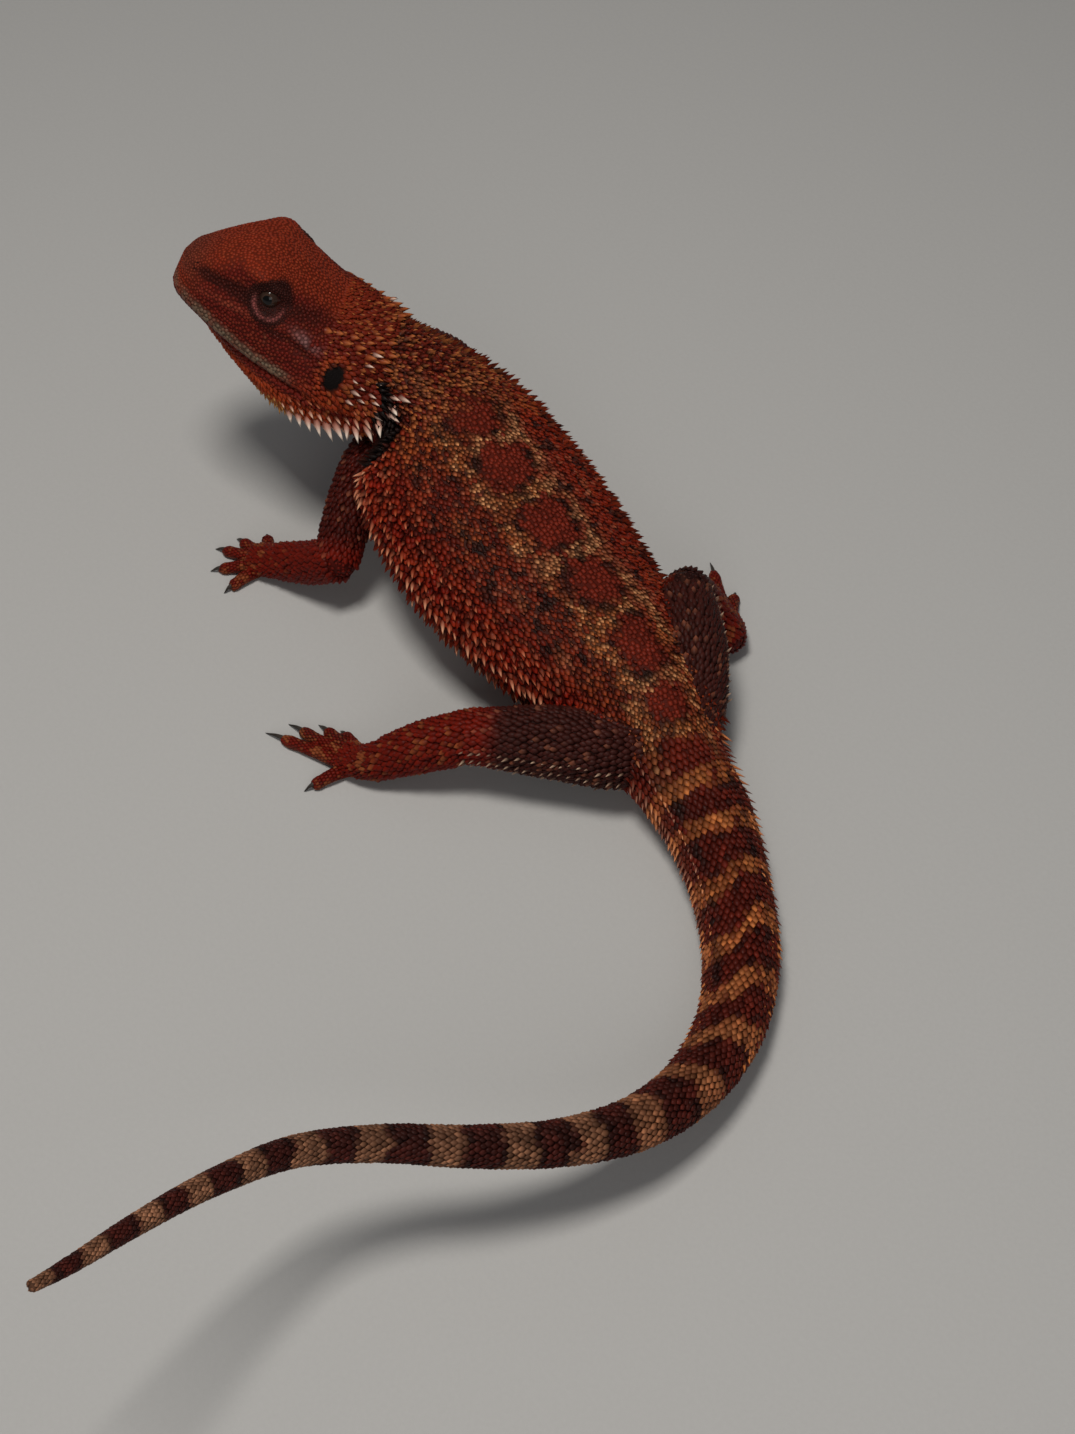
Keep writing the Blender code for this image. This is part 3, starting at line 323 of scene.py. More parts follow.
class Tube:
    """A body length: rings of x, y, z, half width, height, depth and roll along a smooth curve."""

    def __init__(self, stations, lens=1.0, end_axis=None, end_share=0.05):
        self.rows = np.asarray(stations, float)
        steps = np.linalg.norm(np.diff(self.rows[:, :3], axis=0), axis=1)
        self.knots = np.concatenate([[0.0], np.cumsum(steps)])
        self.length = self.knots[-1]
        self.lens = lens
        self.end_axis = end_axis
        self.end_length = self.length * end_share

    def frame(self, t):
        """Centres, forward, left and up directions and the three sizes at every t."""
        row, speed = smooth_curve(self.knots, self.rows, t)
        forward = unit(speed[:, :3])
        if self.end_axis is not None:
            share = np.clip(1 - (self.length - np.atleast_1d(t)) / self.end_length, 0, 1)[:, None]
            forward = unit(forward * (1 - share) + self.end_axis * share)
        left = unit(np.cross((0, 0, 1), forward))
        up = np.cross(forward, left)
        roll = np.radians(row[:, 6:7])
        return (row[:, :3], forward, left * np.cos(roll) + up * np.sin(roll),
                up * np.cos(roll) - left * np.sin(roll), row[:, 3:6])

    def point(self, t, angle, grow=0.0):
        """Points of the surface: angle 0 is the left flank, a quarter turn is the back."""
        centre, _, left, up, size = self.frame(t)
        height = signed_power(np.sin(angle), self.lens)
        rise = np.where(height > 0, size[:, 1], size[:, 2]) + grow
        across = (size[:, 0] + grow) * np.cos(angle)
        return centre + left * across[:, None] + up * (rise * height)[:, None]

    def rings(self, step, sides):
        """Rings along the whole length, about a step apart."""
        count = max(2, int(round(self.length / step)) + 1)
        turns = 2 * math.pi * np.arange(sides) / sides
        return np.array([self.point(np.full(sides, t), turns) for t in np.linspace(0, self.length, count)])

    def dome(self, sides):
        """Rings that round off the end, as a knee, an elbow or a heel does."""
        centre, forward, left, up, size = (v[0] for v in self.frame(self.length))
        turns = 2 * math.pi * np.arange(sides)[:, None] / sides
        rings = []
        for degrees in (20, 40, 58, 72, 84):
            lift, spread = math.sin(math.radians(degrees)), math.cos(math.radians(degrees))
            rings.append(centre + forward * size[0] * DOME * lift
                         + spread * (left * size[0] * np.cos(turns) + up * size[1] * np.sin(turns)))
        return np.array(rings)


def head_axes():
    """Forward, left and up directions of the head."""
    yaw, pitch, roll = (math.radians(a) for a in (HEAD_YAW, HEAD_PITCH, HEAD_ROLL))
    forward = np.array([math.cos(pitch) * math.cos(yaw), math.cos(pitch) * math.sin(yaw), math.sin(pitch)])
    left = np.array([-math.sin(yaw), math.cos(yaw), 0.0])
    up = np.cross(forward, left)
    return np.array([forward, left * math.cos(roll) + up * math.sin(roll),
                     up * math.cos(roll) - left * math.sin(roll)])


HEAD_AXES = head_axes()


def head_to_model(p):
    """Points of the head's own frame, in the model's frame."""
    return np.array(HEAD_BASE) + np.asarray(p, float) @ HEAD_AXES


def model_to_head(p):
    """Points of the model's frame, in the head's own frame."""
    return (p - np.array(HEAD_BASE)) @ HEAD_AXES.T


def on_side(p, mirror):
    """Points of the head's left side, or of its right side where mirror is -1, in the model's frame."""
    return head_to_model(np.asarray(p, float) * (1, mirror, 1))


def mouth_level(x):
    """Height of the line of the mouth along the head."""
    inside = np.clip(x, HEAD_REAR, HEAD_TIP)
    return smooth_curve(HEAD[:, 0], HEAD[:, 1], inside)[0][:, 0]


def stripe_level(x):
    """Height of the dark stripe that runs from the nostril through the eye."""
    ahead = (x - EYE[0]) / (NOSTRIL[0] - EYE[0])
    return EYE[2] + np.where(ahead > 0, (NOSTRIL[2] - EYE[2]) * ahead, -1.2 * ahead)


def temple_level(x):
    """Height of the pale pad behind and below the eye."""
    return 12.2 + 0.2 * (x - 12.5)


def head_section(x, angle):
    """Points of the head's surface in its own frame; angle 0 is the left side at the mouth."""
    row, _ = smooth_curve(HEAD[:, 0], HEAD[:, 1:], x)
    mouth, crown, chin, half, square_top, square_low = row.T
    x, c, s = np.atleast_1d(x), np.cos(angle), np.sin(angle)
    upper = s >= 0
    power = 2.0 / np.where(upper, square_top, square_low)
    y = half * signed_power(c, power) * np.where(upper, 1.0, LIP_STEP - LIP_TAPER * ramp(x, 16, 40))
    z = mouth + np.where(upper, crown - mouth, mouth - chin) * signed_power(s, power)
    side = np.where(c < 0, -1.0, 1.0)
    hollow = bump(x, ORBIT[0], ORBIT[2]) * bump(z, ORBIT[1], ORBIT[2] * 0.8) * bump(np.abs(c), 1.0, 0.6)
    y -= side * ORBIT[3] * hollow
    brow = bump(x, BROW[0], BROW_LENGTH) * bump(np.abs(y), BROW[1], BROW_REACH) * bump(z, BROW[2], BROW_REACH)
    y += side * BROW_SWELL * brow
    z += BROW_RISE * brow
    ahead = np.clip((x - MOUTH_CORNER) / 3.2, 0, 1)
    near = bump(z, mouth, GROOVE_REACH) * ahead
    lips = (bump(z, mouth + UPPER_LIP, LIP_REACH) + bump(z, mouth + LOWER_LIP, LIP_REACH)) * (ahead > 0)
    y += side * np.abs(c) ** 0.5 * (LIP_SWELL * lips - MOUTH_GROOVE * near)
    # Hollow ahead of the eye with a ridge below it, then the temple's pad, fold and crease
    flat_side = ramp(np.abs(c), 0.3, 0.7)
    hollow = bump(z, stripe_level(x), 3.0) * bump(x, 37, 10) * flat_side
    ridge = bump(z, stripe_level(x) - 4.2, 1.9) * bump(x, 28, 19) * flat_side
    y += side * (0.55 * ridge - 0.9 * hollow)
    pad = bump(x, 12.5, 8.0) * bump(z, temple_level(x), 2.6)
    fold = bump(x, 13.0, 9.0) * bump(z, temple_level(x) - 2.9, 1.6)
    crease = bump(x, 26.0, 18.0) * bump(z, mouth + 4.0, 1.2)
    y += side * (0.6 * pad - 0.85 * fold - 0.45 * crease) * flat_side
    return np.stack([x, y, z], axis=-1)


class Anatomy:
    """The curves of the body, the legs and the digits."""

    def __init__(self):
        neck_end = head_to_model((HEAD_REAR, 0.0, NECK_AXIS_LIFT))
        self.body = Tube(SPINE + [(*neck_end, 17.0, 13.0, 13.0, HEAD_ROLL)], LENS,
                         end_axis=HEAD_AXES[0])
        self.legs, self.digits = {}, {}
        for name, places in LEGS.items():
            stations = []
            for i, (x, y, z, r) in enumerate(places):
                flat = PALM_FLAT if i > LEG_WRIST else 1.0
                deep = THIGH_DEEP if name.startswith("hind") and i < LEG_BEND else 1.0
                stations.append((x, y, z, r, r * flat * deep, r * flat * deep, 0.0))
            pieces = []
            for first, last in LEG_PIECES:
                rows = [list(row) for row in stations[first:last + 1]]
                if first:
                    ahead = unit(np.subtract(rows[1][:3], rows[0][:3]))
                    rows[0][:3] = list(np.array(rows[0][:3]) - ahead * rows[0][3] * JOINT_SUNK)
                pieces.append(Tube(rows))
            self.legs[name] = pieces
            self.digits[name] = self.leg_digits(name, pieces[-1])

    def leg_digits(self, name, palm):
        """The tubes of a leg's digits, without their claws, and each one's root, heading and reach."""
        centre, forward, left, _, size = (v[0] for v in palm.frame(palm.length - 1.5))
        outer = 1 if name.endswith("left") else -1
        found = []
        for share, heading, reach in DIGITS[name]:
            root = centre + left * (share - 0.5) * 1.5 * size[0] * outer - forward * 2.6 * abs(share - 0.5)
            turn = math.radians(heading)
            ahead = np.array([math.cos(turn), math.sin(turn), 0.0])
            stations = []
            for place, rise, thick in DIGIT_PROFILE:
                radius = DIGIT_RADIUS * thick
                level = max(DIGIT_RADIUS * DIGIT_LEVEL + (DIGIT_RISE - DIGIT_RADIUS) * rise, radius * 0.6)
                spot = root[:2] + ahead[:2] * reach * place
                stations.append((spot[0], spot[1], level, radius, radius, radius, 0.0))
            found.append((Tube(stations), root, ahead, reach))
        return found


ANATOMY = Anatomy()
BODY = ANATOMY.body
VENT_AT, SHOULDER_AT, NECK_AT = BODY.knots[[VENT, SHOULDER, NECK]]
WORK = {}


def ring_faces(n, level=0):
    """Faces between two rings of n points, the lower one at the given level."""
    k = np.arange(n)
    first, second = level * n + k, level * n + (k + 1) % n
    return np.stack([first, second, second + n, first + n], axis=1)


def tip_faces(n, level, point):
    """Faces between a ring of n points and one point."""
    k = np.arange(n)
    return np.stack([level * n + k, level * n + (k + 1) % n, np.full(n, point)], axis=1)


def read_array(items, name, width=1, kind=float):
    """An attribute of all items of a mesh as an array."""
    values = np.empty(len(items) * width, kind)
    items.foreach_get(name, values)
    return values.reshape(-1, width) if width > 1 else values


def mesh_from_arrays(name, verts, blocks):
    """A mesh from points in millimetres and blocks of faces that have equal numbers of corners."""
    mesh = bpy.data.meshes.new(name)
    verts = (np.asarray(verts, float).reshape(-1, 3) * MM).astype(np.float32)
    corners = np.concatenate([np.asarray(b).ravel() for b in blocks]).astype(np.int32)
    sizes = np.concatenate([np.full(len(b), np.shape(b)[1]) for b in blocks]).astype(np.int32)
    mesh.vertices.add(len(verts))
    mesh.vertices.foreach_set("co", verts.ravel())
    mesh.loops.add(len(corners))
    mesh.loops.foreach_set("vertex_index", corners)
    mesh.polygons.add(len(sizes))
    mesh.polygons.foreach_set("loop_start", (np.cumsum(sizes) - sizes).astype(np.int32))
    mesh.polygons.foreach_set("use_smooth", np.ones(len(sizes), bool))
    mesh.update(calc_edges=True)
    return mesh


def add_object(name, data):
    """An object for a mesh, a light or a camera, in the scene."""
    obj = bpy.data.objects.new(name, data)
    bpy.context.scene.collection.objects.link(obj)
    return obj


def loft(rings, floor=None):
    """Points and faces of a closed solid through rings; what would pass the floor lies flat on it."""
    rings = np.asarray(rings, float)
    count, sides = rings.shape[:2]
    verts = np.concatenate([rings.reshape(-1, 3), [rings[0].mean(0)], [rings[-1].mean(0)]])
    if floor is not None:
        verts[:, 2] = np.maximum(verts[:, 2], floor)
    walls = np.concatenate([ring_faces(sides, row) for row in range(count - 1)])
    start = tip_faces(sides, 0, count * sides)[:, [2, 1, 0]]
    end = tip_faces(sides, count - 1, count * sides + 1)[:, [2, 0, 1]]
    return verts, [walls, np.concatenate([start, end])]


def ball(centre, axes, radii, rows=24, sides=32):
    """Points and faces of a ball or an egg along the given directions."""
    lat = math.pi * (np.arange(1, rows) / rows - 0.5)
    turns = 2 * math.pi * np.arange(sides)[:, None] / sides
    girdle = axes[1] * radii[1] * np.cos(turns) + axes[2] * radii[2] * np.sin(turns)
    verts, faces = loft([centre + axes[0] * radii[0] * math.sin(a) + math.cos(a) * girdle for a in lat])
    verts[-2] = centre - axes[0] * radii[0]
    verts[-1] = centre + axes[0] * radii[0]
    return verts, faces


def hoop(rings):
    """Points and faces of a closed ring of rings, such as an eyelid."""
    rings = np.asarray(rings, float)
    count, sides = rings.shape[:2]
    walls = np.concatenate([ring_faces(sides, row) for row in range(count)]) % (count * sides)
    return rings.reshape(-1, 3), [walls]


def join_parts(parts):
    """One set of points and faces from several."""
    verts, blocks, base = [], [], 0
    for points, faces in parts:
        verts.append(points)
        blocks += [f + base for f in faces]
        base += len(points)
    return np.concatenate(verts), blocks


def lid_ring(mirror, radius, thick, out, long, low, drop):
    """A fold of skin round the eye."""
    turns = 2 * math.pi * np.arange(48) / 48
    rolls = 2 * math.pi * np.arange(12) / 12
    rings = []
    for turn in turns:
        reach = radius + thick * np.cos(rolls)
        point = math.cos(turn) * abs(math.cos(turn)) ** 0.25
        rings.append(head_to_model(np.stack([
            EYE[0] + reach * long * point,
            mirror * (out + thick * np.sin(rolls) - 0.10 * radius * point * point),
            EYE[2] + drop + reach * low * math.sin(turn)], axis=1)))
    return hoop(rings)


def apply_modifiers(obj):
    """Give the object the mesh that its modifiers make."""
    graph = bpy.context.evaluated_depsgraph_get()
    graph.update()
    mesh = bpy.data.meshes.new_from_object(obj.evaluated_get(graph))
    obj.modifiers.clear()
    obj.data = mesh


def cut_away(obj, parts):
    """Cut the shapes of the parts from the object."""
    group = bpy.data.collections.new("cutters")
    bpy.context.scene.collection.children.link(group)
    for part in parts:
        group.objects.link(bpy.data.objects.new("cutter", mesh_from_arrays("cutter", *part)))
    mod = obj.modifiers.new("cut", "BOOLEAN")
    mod.operation, mod.operand_type, mod.collection, mod.solver = "DIFFERENCE", "COLLECTION", group, "EXACT"
    apply_modifiers(obj)
    for cutter in list(group.objects):
        bpy.data.objects.remove(cutter, do_unlink=True)
    bpy.data.collections.remove(group)


def head_parts():
    """The head as one mesh with its sockets, ear openings and nostrils cut."""
    shares = np.linspace(0, 1, 26)
    quarter = np.arcsin(shares ** (1 / 0.62))
    upper = np.concatenate([quarter, math.pi - quarter[-2::-1]])
    lower_quarter = np.arcsin(np.linspace(0, 1, 22)[1:] ** 1.4)
    lower = np.concatenate([math.pi + lower_quarter, 2 * math.pi - lower_quarter[-2::-1]])
    angles = np.concatenate([upper, lower])
    places = np.concatenate([np.linspace(HEAD_REAR, HEAD_TIP - 2.0, 80),
                             HEAD_TIP - np.array([1.4, 0.9, 0.5, 0.2])])
    rings = [head_to_model(head_section(np.full(len(angles), x), angles)) for x in places]
    obj = add_object("head_shape", mesh_from_arrays("head_shape", *loft(rings)))
    axes = HEAD_AXES[[1, 0, 2]]
    tall, long, deep = EAR[3:]
    cuts = []
    for mirror in (1, -1):
        cuts.append(ball(on_side(EYE, mirror), axes, [EYE_RADIUS + 0.1] * 3))
        cuts.append(ball(on_side(EAR[:3], mirror), axes, (deep, long, tall), 16, 24))
        cuts.append(ball(on_side(NOSTRIL[:3], mirror), axes, [NOSTRIL[3]] * 3, 10, 12))
    cut_away(obj, cuts)
    return obj


def body_parts():
    """Points and faces of the trunk, the tail, the legs and the toes."""
    rings = BODY.rings(*BODY_RINGS)
    inner = rings[-1].mean(0) + (rings[-1] - rings[-1].mean(0)) * 0.93 + HEAD_AXES[0] * 3.0
    parts = [loft(np.concatenate([rings, [inner]]), floor=0.0)]
    for name, pieces in ANATOMY.legs.items():
        for number, tube in enumerate(pieces):
            rings = tube.rings(*LEG_RINGS)
            if number < 2:
                rings = np.concatenate([rings, tube.dome(LEG_RINGS[1])])
            parts.append(loft(rings, floor=0.0))
        for tube, _, _, _ in ANATOMY.digits[name]:
            parts.append(loft(tube.rings(*TOE_RINGS), floor=0.0))
    for mirror in (1, -1):
        parts += [lid_ring(mirror, *lid) for lid in LIDS]
        parts.append(ball(on_side(JOWL, mirror), HEAD_AXES, JOWL_RADII))
    return parts


def build_skin(sizes):
    """One skin over the whole body, joined on a fine grid and smoothed."""
    head = head_parts()
    verts, blocks = join_parts(body_parts())
    base = len(verts)
    corners = read_array(head.data.loops, "vertex_index", kind=np.int32)
    counts = read_array(head.data.polygons, "loop_total", kind=np.int32)
    starts = np.cumsum(counts) - counts
    for size in np.unique(counts):
        rows = starts[counts == size]
        blocks.append(corners[rows[:, None] + np.arange(size)] + base)
    verts = np.concatenate([verts, read_array(head.data.vertices, "co", 3) / MM])
    bpy.data.objects.remove(head, do_unlink=True)
    skin = add_object("skin", mesh_from_arrays("skin", verts, blocks))
    remesh = skin.modifiers.new("join", "REMESH")
    remesh.mode, remesh.voxel_size, remesh.use_smooth_shade = "VOXEL", sizes.voxel, True
    smooth = skin.modifiers.new("smooth", "SMOOTH")
    smooth.factor, smooth.iterations = 0.5, 3
    thin = skin.modifiers.new("thin", "DECIMATE")
    thin.ratio = SKIN_KEPT
    apply_modifiers(skin)
    return skin


class SkinField:
    """Nearest points, smooth normals and triangles of the skin, in millimetres."""

    def __init__(self, obj):
        mesh = obj.data
        mesh.calc_loop_triangles()
        self.verts = read_array(mesh.vertices, "co", 3) / MM
        self.tris = read_array(mesh.loop_triangles, "vertices", 3, np.int32)
        corner = self.verts[self.tris]
        cross = np.cross(corner[:, 1] - corner[:, 0], corner[:, 2] - corner[:, 0])
        self.area = np.linalg.norm(cross, axis=1) / 2
        normals = np.zeros_like(self.verts)
        for k in range(3):
            np.add.at(normals, self.tris[:, k], cross)
        self.vert_normals = unit(normals)
        self.tree = BVHTree.FromPolygons(self.verts.tolist(), self.tris.tolist())

    def project(self, points):
        """Nearest points on the skin, the smooth normals there and the distances."""
        found = [self.tree.find_nearest(Vector(p)) for p in points]
        place = np.array([f[0] for f in found])
        index = np.array([f[2] for f in found])
        normal = unit(self.vert_normals[self.tris[index]].mean(axis=1))
        return place, normal, np.array([f[3] for f in found])

    def scatter(self, count, keep, draw):
        """Random points on the triangles that keep chooses, with their normals."""
        weight = self.area * keep
        index = draw.choice(len(weight), count, p=weight / weight.sum())
        a, b = draw.random(count), draw.random(count)
        flip = a + b > 1
        a[flip], b[flip] = 1 - a[flip], 1 - b[flip]
        share = np.stack([1 - a - b, a, b], axis=1)[:, :, None]
        corner = self.tris[index]
        place = (self.verts[corner] * share).sum(axis=1)
        return place, unit((self.vert_normals[corner] * share).sum(axis=1))


CELLS_AROUND = [(x, y, z) for x in (-1, 0, 1) for y in (-1, 0, 1) for z in (-1, 0, 1)]


def crowded(grid, cell, p, limit):
    """Whether a point of the cells around lies nearer to p than the root of the limit."""
    for x, y, z in CELLS_AROUND:
        for q in grid.get((cell[0] + x, cell[1] + y, cell[2] + z), ()):
            if (p[0] - q[0]) ** 2 + (p[1] - q[1]) ** 2 + (p[2] - q[2]) ** 2 < limit:
                return True
    return False


def settle(points, radii, taken=()):
    """Indices of points that keep their own radius from each other and from those taken."""
    size = float(np.max(radii))
    grid, kept = {}, []
    for p in taken:
        grid.setdefault(tuple((p // size).astype(int)), []).append(p)
    for i, (p, cell) in enumerate(zip(points, (points // size).astype(int))):
        if not crowded(grid, cell, p, radii[i] ** 2):
            grid.setdefault(tuple(cell), []).append(p)
            kept.append(i)
    return np.array(kept, int)


def clear_of(points, gap, taken):
    """Which points keep the gap from each other and from those taken."""
    clear = np.zeros(len(points), bool)
    clear[settle(points, np.full(len(points), gap), np.concatenate(taken))] = True
    return clear


PLATE_RIM = 0.30
FOOT_SHADE = -0.85        # how far the foot of a scale is darkened below its base colour, as painted shade where it meets the skin
REAR_PART = 0.1          # edges of a scale behind this place meet the ridge's rear point


def outline_form(outline, rim, ridge, sunk=-0.45):
    """Points, faces and tint of a scale: a sunk foot, a rim and a ridge of two points."""
    n = len(outline)
    foot = [(x * 0.9, y * 0.9, sunk) for x, y in outline]
    edge = [(x, y, rim(x)) for x, y in outline]
    verts = np.array(foot + edge + list(ridge))
    behind = [(outline[i][0] + outline[(i + 1) % n][0]) / 2 > REAR_PART for i in range(n)]
    front, rear = 2 * n, 2 * n + 1
    tops = [(n + i, n + (i + 1) % n, rear if behind[i] else front) for i in range(n)]
    for i in range(n):
        if behind[i] != behind[i - 1]:
            tops.append((n + i, rear, front) if behind[i] else (n + i, front, rear))
    # The foot and the low front of a scale darken towards FOOT_SHADE, as painted shade where it meets the
    # skin; the high rear takes the tip colour
    tint = np.where(verts[:, 2] > 0, verts[:, 0] * 1.1 + 0.30 + 0.5 * (verts[:, 2] - 0.5), FOOT_SHADE)
    # Plates: the raised middle is painted towards the tip colour and the rim a little darker, as painted
    # light and shade on each plate
    if rim(0) == PLATE_RIM:
        tint = np.where(verts[:, 2] > 0, np.where(verts[:, 2] > 0.5, 0.75, -0.12), tint)
    faces = [ring_faces(n), np.array(tops), np.arange(n)[None, ::-1]]
    return verts, faces, np.clip(tint, FOOT_SHADE, 1)


def bead_form():
    """A low rounded bead of six sides."""
    turns = math.pi / 3 * np.arange(6)
    ring = np.stack([0.5 * np.cos(turns), 0.5 * np.sin(turns)], axis=1)
    verts = np.array([(x, y, -0.4) for x, y in ring] + [(x * 0.94, y * 0.94, 0.55) for x, y in ring]
                     + [(0.06, 0, 1.0)])
    # The bead's foot is darkened as painted shade where it meets the skin; its top takes the tip colour
    tint = np.array([FOOT_SHADE * 0.75] * 6 + [0.0] * 6 + [1.0])
    return verts, [ring_faces(6), tip_faces(6, 1, 12), np.arange(6)[None, ::-1]], tint


def spine_form():
    """A spine that stands along z and bends towards +x, thin at its tip."""
    turns = math.pi / 3 * np.arange(6)
    rings = [(-0.30, 1.0, 0.0), (0.0, 0.92, 0.0), (0.35, 0.62, 0.05), (0.7, 0.30, 0.16)]
    verts = []
    for height, thick, bend in rings:
        verts += [(0.5 * thick * math.cos(a) + bend, 0.5 * thick * math.sin(a), height) for a in turns]
    verts.append((0.30, 0, 1.0))
    walls = np.concatenate([ring_faces(6, row) for row in range(3)])
    # The spine's foot and its ring at the skin are darkened as painted shade where it meets the skin; towards
    # its point it takes the tip colour
    tint = np.array([FOOT_SHADE] * 6 + [-0.35] * 6 + [0.3] * 6 + [0.85] * 6 + [1.0])
    return np.array(verts), [walls, tip_faces(6, 3, 24), np.arange(6)[None, ::-1]], tint


KEELED = [(0.64, 0.0), (0.2, 0.49), (-0.32, 0.42), (-0.55, 0.0), (-0.32, -0.42), (0.2, -0.49)]
PLATE = [(0.52, 0.22), (0.35, 0.47), (-0.42, 0.47), (-0.50, 0.0), (-0.42, -0.47), (0.35, -0.47),
         (0.52, -0.22)]
THORN = [(0.35, 0.0), (0.22, 0.33), (-0.12, 0.46), (-0.5, 0.24), (-0.5, -0.24), (-0.12, -0.46),
         (0.22, -0.33)]
FORMS = {
    "keeled": outline_form(KEELED, lambda x: 0.12 + 0.55 * (x + 0.5), [(-0.15, 0, 0.55), (0.44, 0, 1.05)]),
    "plate": outline_form(PLATE, lambda x: PLATE_RIM, [(-0.15, 0, 0.72), (0.22, 0, 0.80)]),
    "thorn": outline_form(THORN, lambda x: 0.0, [(0.0, 0, 0.62), (0.66, 0, 1.15)], -0.25),
    "bead": bead_form(),
    "spine": spine_form(),
}


class Coat:
    """Scales of one piece, gathered as arrays and joined in one mesh."""

    def __init__(self, name):
        self.name = name
        self.rows = []

    def add(self, form, root, up, lie, size, base, tip, place):
        """Scales of one form: roots, outward and rearward directions, sizes, colours, bake places."""
        up = unit(up)
        lie = unit(lie - up * np.sum(lie * up, axis=1, keepdims=True))
        self.rows.append((form, root, up, lie, size, base, tip, place))

    def roots(self):
        """All roots and their colours."""
        return (np.concatenate([r[1] for r in self.rows]),
                np.concatenate([r[5] * 0.8 + r[6] * 0.2 for r in self.rows]))

    def build(self):
        """One object of all scales, with its tint and its bake map."""
        verts, blocks, tints, maps, base_index = [], [], [], [], 0
        for form, root, up, lie, size, base, tip, place in self.rows:
            shape, faces, tint = FORMS[form]
            side = np.cross(up, lie)
            local = shape[None] * size[:, None, :]
            points = (root[:, None] + lie[:, None] * local[..., :1] + side[:, None] * local[..., 1:2]
                      + up[:, None] * local[..., 2:])
            points[..., 2] = np.maximum(points[..., 2], LEAST_HEIGHT)
            count, m = len(root), len(shape)
            offset = base_index + np.arange(count)[:, None] * m
            for block in faces:
                blocks.append((offset[:, None] + block[None]).reshape(-1, block.shape[1]))
            verts.append(points.reshape(-1, 3))
            # A negative tint darkens the base colour: the painted shade at the foot of each scale
            mix, dark = np.maximum(tint, 0)[None, :, None], np.minimum(tint, 0)[None, :, None]
            tints.append((base[:, None] * (1 - mix) * (1 + dark) + tip[:, None] * mix).reshape(-1, 3))
            patch = shape[:, :2] / max(1e-6, np.abs(shape[:, :2]).max()) * BAKE_PATCH / 2
            maps.append((place[:, None] + patch[None]).reshape(-1, 2))
            base_index += count * m
        obj = add_tinted(self.name, np.concatenate(verts), blocks, np.concatenate(tints))
        corner = read_array(obj.data.loops, "vertex_index", kind=np.int32)
        layer = obj.data.uv_layers.new(name="OFBake")
        layer.data.foreach_set("uv", np.clip(np.concatenate(maps), 0, 1)[corner].astype(np.float32).ravel())
        return obj


def write_tint(mesh, colours):
    """Keep one colour for each vertex on the mesh."""
    layer = mesh.color_attributes.new(name="tint", type="FLOAT_COLOR", domain="POINT")
    rows = np.concatenate([np.clip(colours, 0, 1), np.ones((len(colours), 1))], axis=1)
    layer.data.foreach_set("color", rows.astype(np.float32).ravel())


def add_tinted(name, verts, blocks, colours):
    """An object with a mesh that keeps one colour for each vertex."""
    mesh = mesh_from_arrays(name, verts, blocks)
    write_tint(mesh, colours)
    return add_object(name, mesh)


def blend(first, second, share):
    """Colours between first and second."""
    share = np.asarray(share, float)
    if share.ndim == 1:
        share = share[:, None]
    return first * (1 - share) + second * share


def layered(base, layers):
    """A colour with others laid over it in order, each by its share."""
    for colour, share in layers:
        base = blend(base, colour, share)
    return base


def half_ring(tube, t, side, count):
    """Angles down one side of a ring, its points and their arcs from the ridge."""
    angles = math.pi / 2 - side * np.linspace(0, math.pi, count)
    ring = tube.point(np.full(count, t), angles)
    steps = np.linalg.norm(np.diff(ring, axis=0), axis=1)
    return angles, ring, np.concatenate([[0], np.cumsum(steps)])


def lattice(tube, start, end, pitch):
    """Staggered rows round a tube: length, angle, arc from the ridge, share to the keel, pitch."""
    rows = []
    t, odd = start, 0
    while t < end:
        step = pitch(t)
        for side in (1, -1):
            angles, _, arc = half_ring(tube, t, side, 60)
            first = step * (0.5 if odd else (1.0 if side < 0 else 0.0))
            spots = np.arange(first, arc[-1], step)
            n = len(spots)
            if n:
                rows.append(np.stack([np.full(n, t), np.interp(spots, arc, angles), side * spots,
                                      spots / arc[-1], np.full(n, step)], axis=1))
        t += step * 0.93
        odd = 1 - odd
    return np.concatenate(rows)


def tree_of(points):
    """A tree that finds the nearest of the points."""
    tree = KDTree(len(points))
    for i, point in enumerate(points):
        tree.insert(point, i)
    tree.balance()
    return tree


def nearest(points, spots):
    """The index of the nearest of the points to each spot."""
    tree = tree_of(points)
    return np.array([tree.find(spot)[1] for spot in spots], int)


class BodyMap:
    """Length, angle, arc from the ridge and share to the keel of any point near the body tube."""

    def __init__(self, tube):
        rows = []
        for t in np.arange(0, tube.length, 0.8):
            for side in (1, -1):
                angles, ring, arc = half_ring(tube, t, side, 90)
                rows.append(np.column_stack([ring, np.full(90, t), angles, side * arc, arc / arc[-1]]))
        self.rows = np.concatenate(rows)
        self.tree = tree_of(self.rows[:, :3])

    def find(self, points):
        """Rows of length, angle, arc and share, and the distances from the tube."""
        found = [self.tree.find(p) for p in points]
        return self.rows[[f[1] for f in found], 3:], np.array([f[2] for f in found])


def vary(draw, count, share):
    """A column of factors about 1 that differ by up to the share."""
    return 1 + share * (2 * draw.random((count, 1)) - 1)


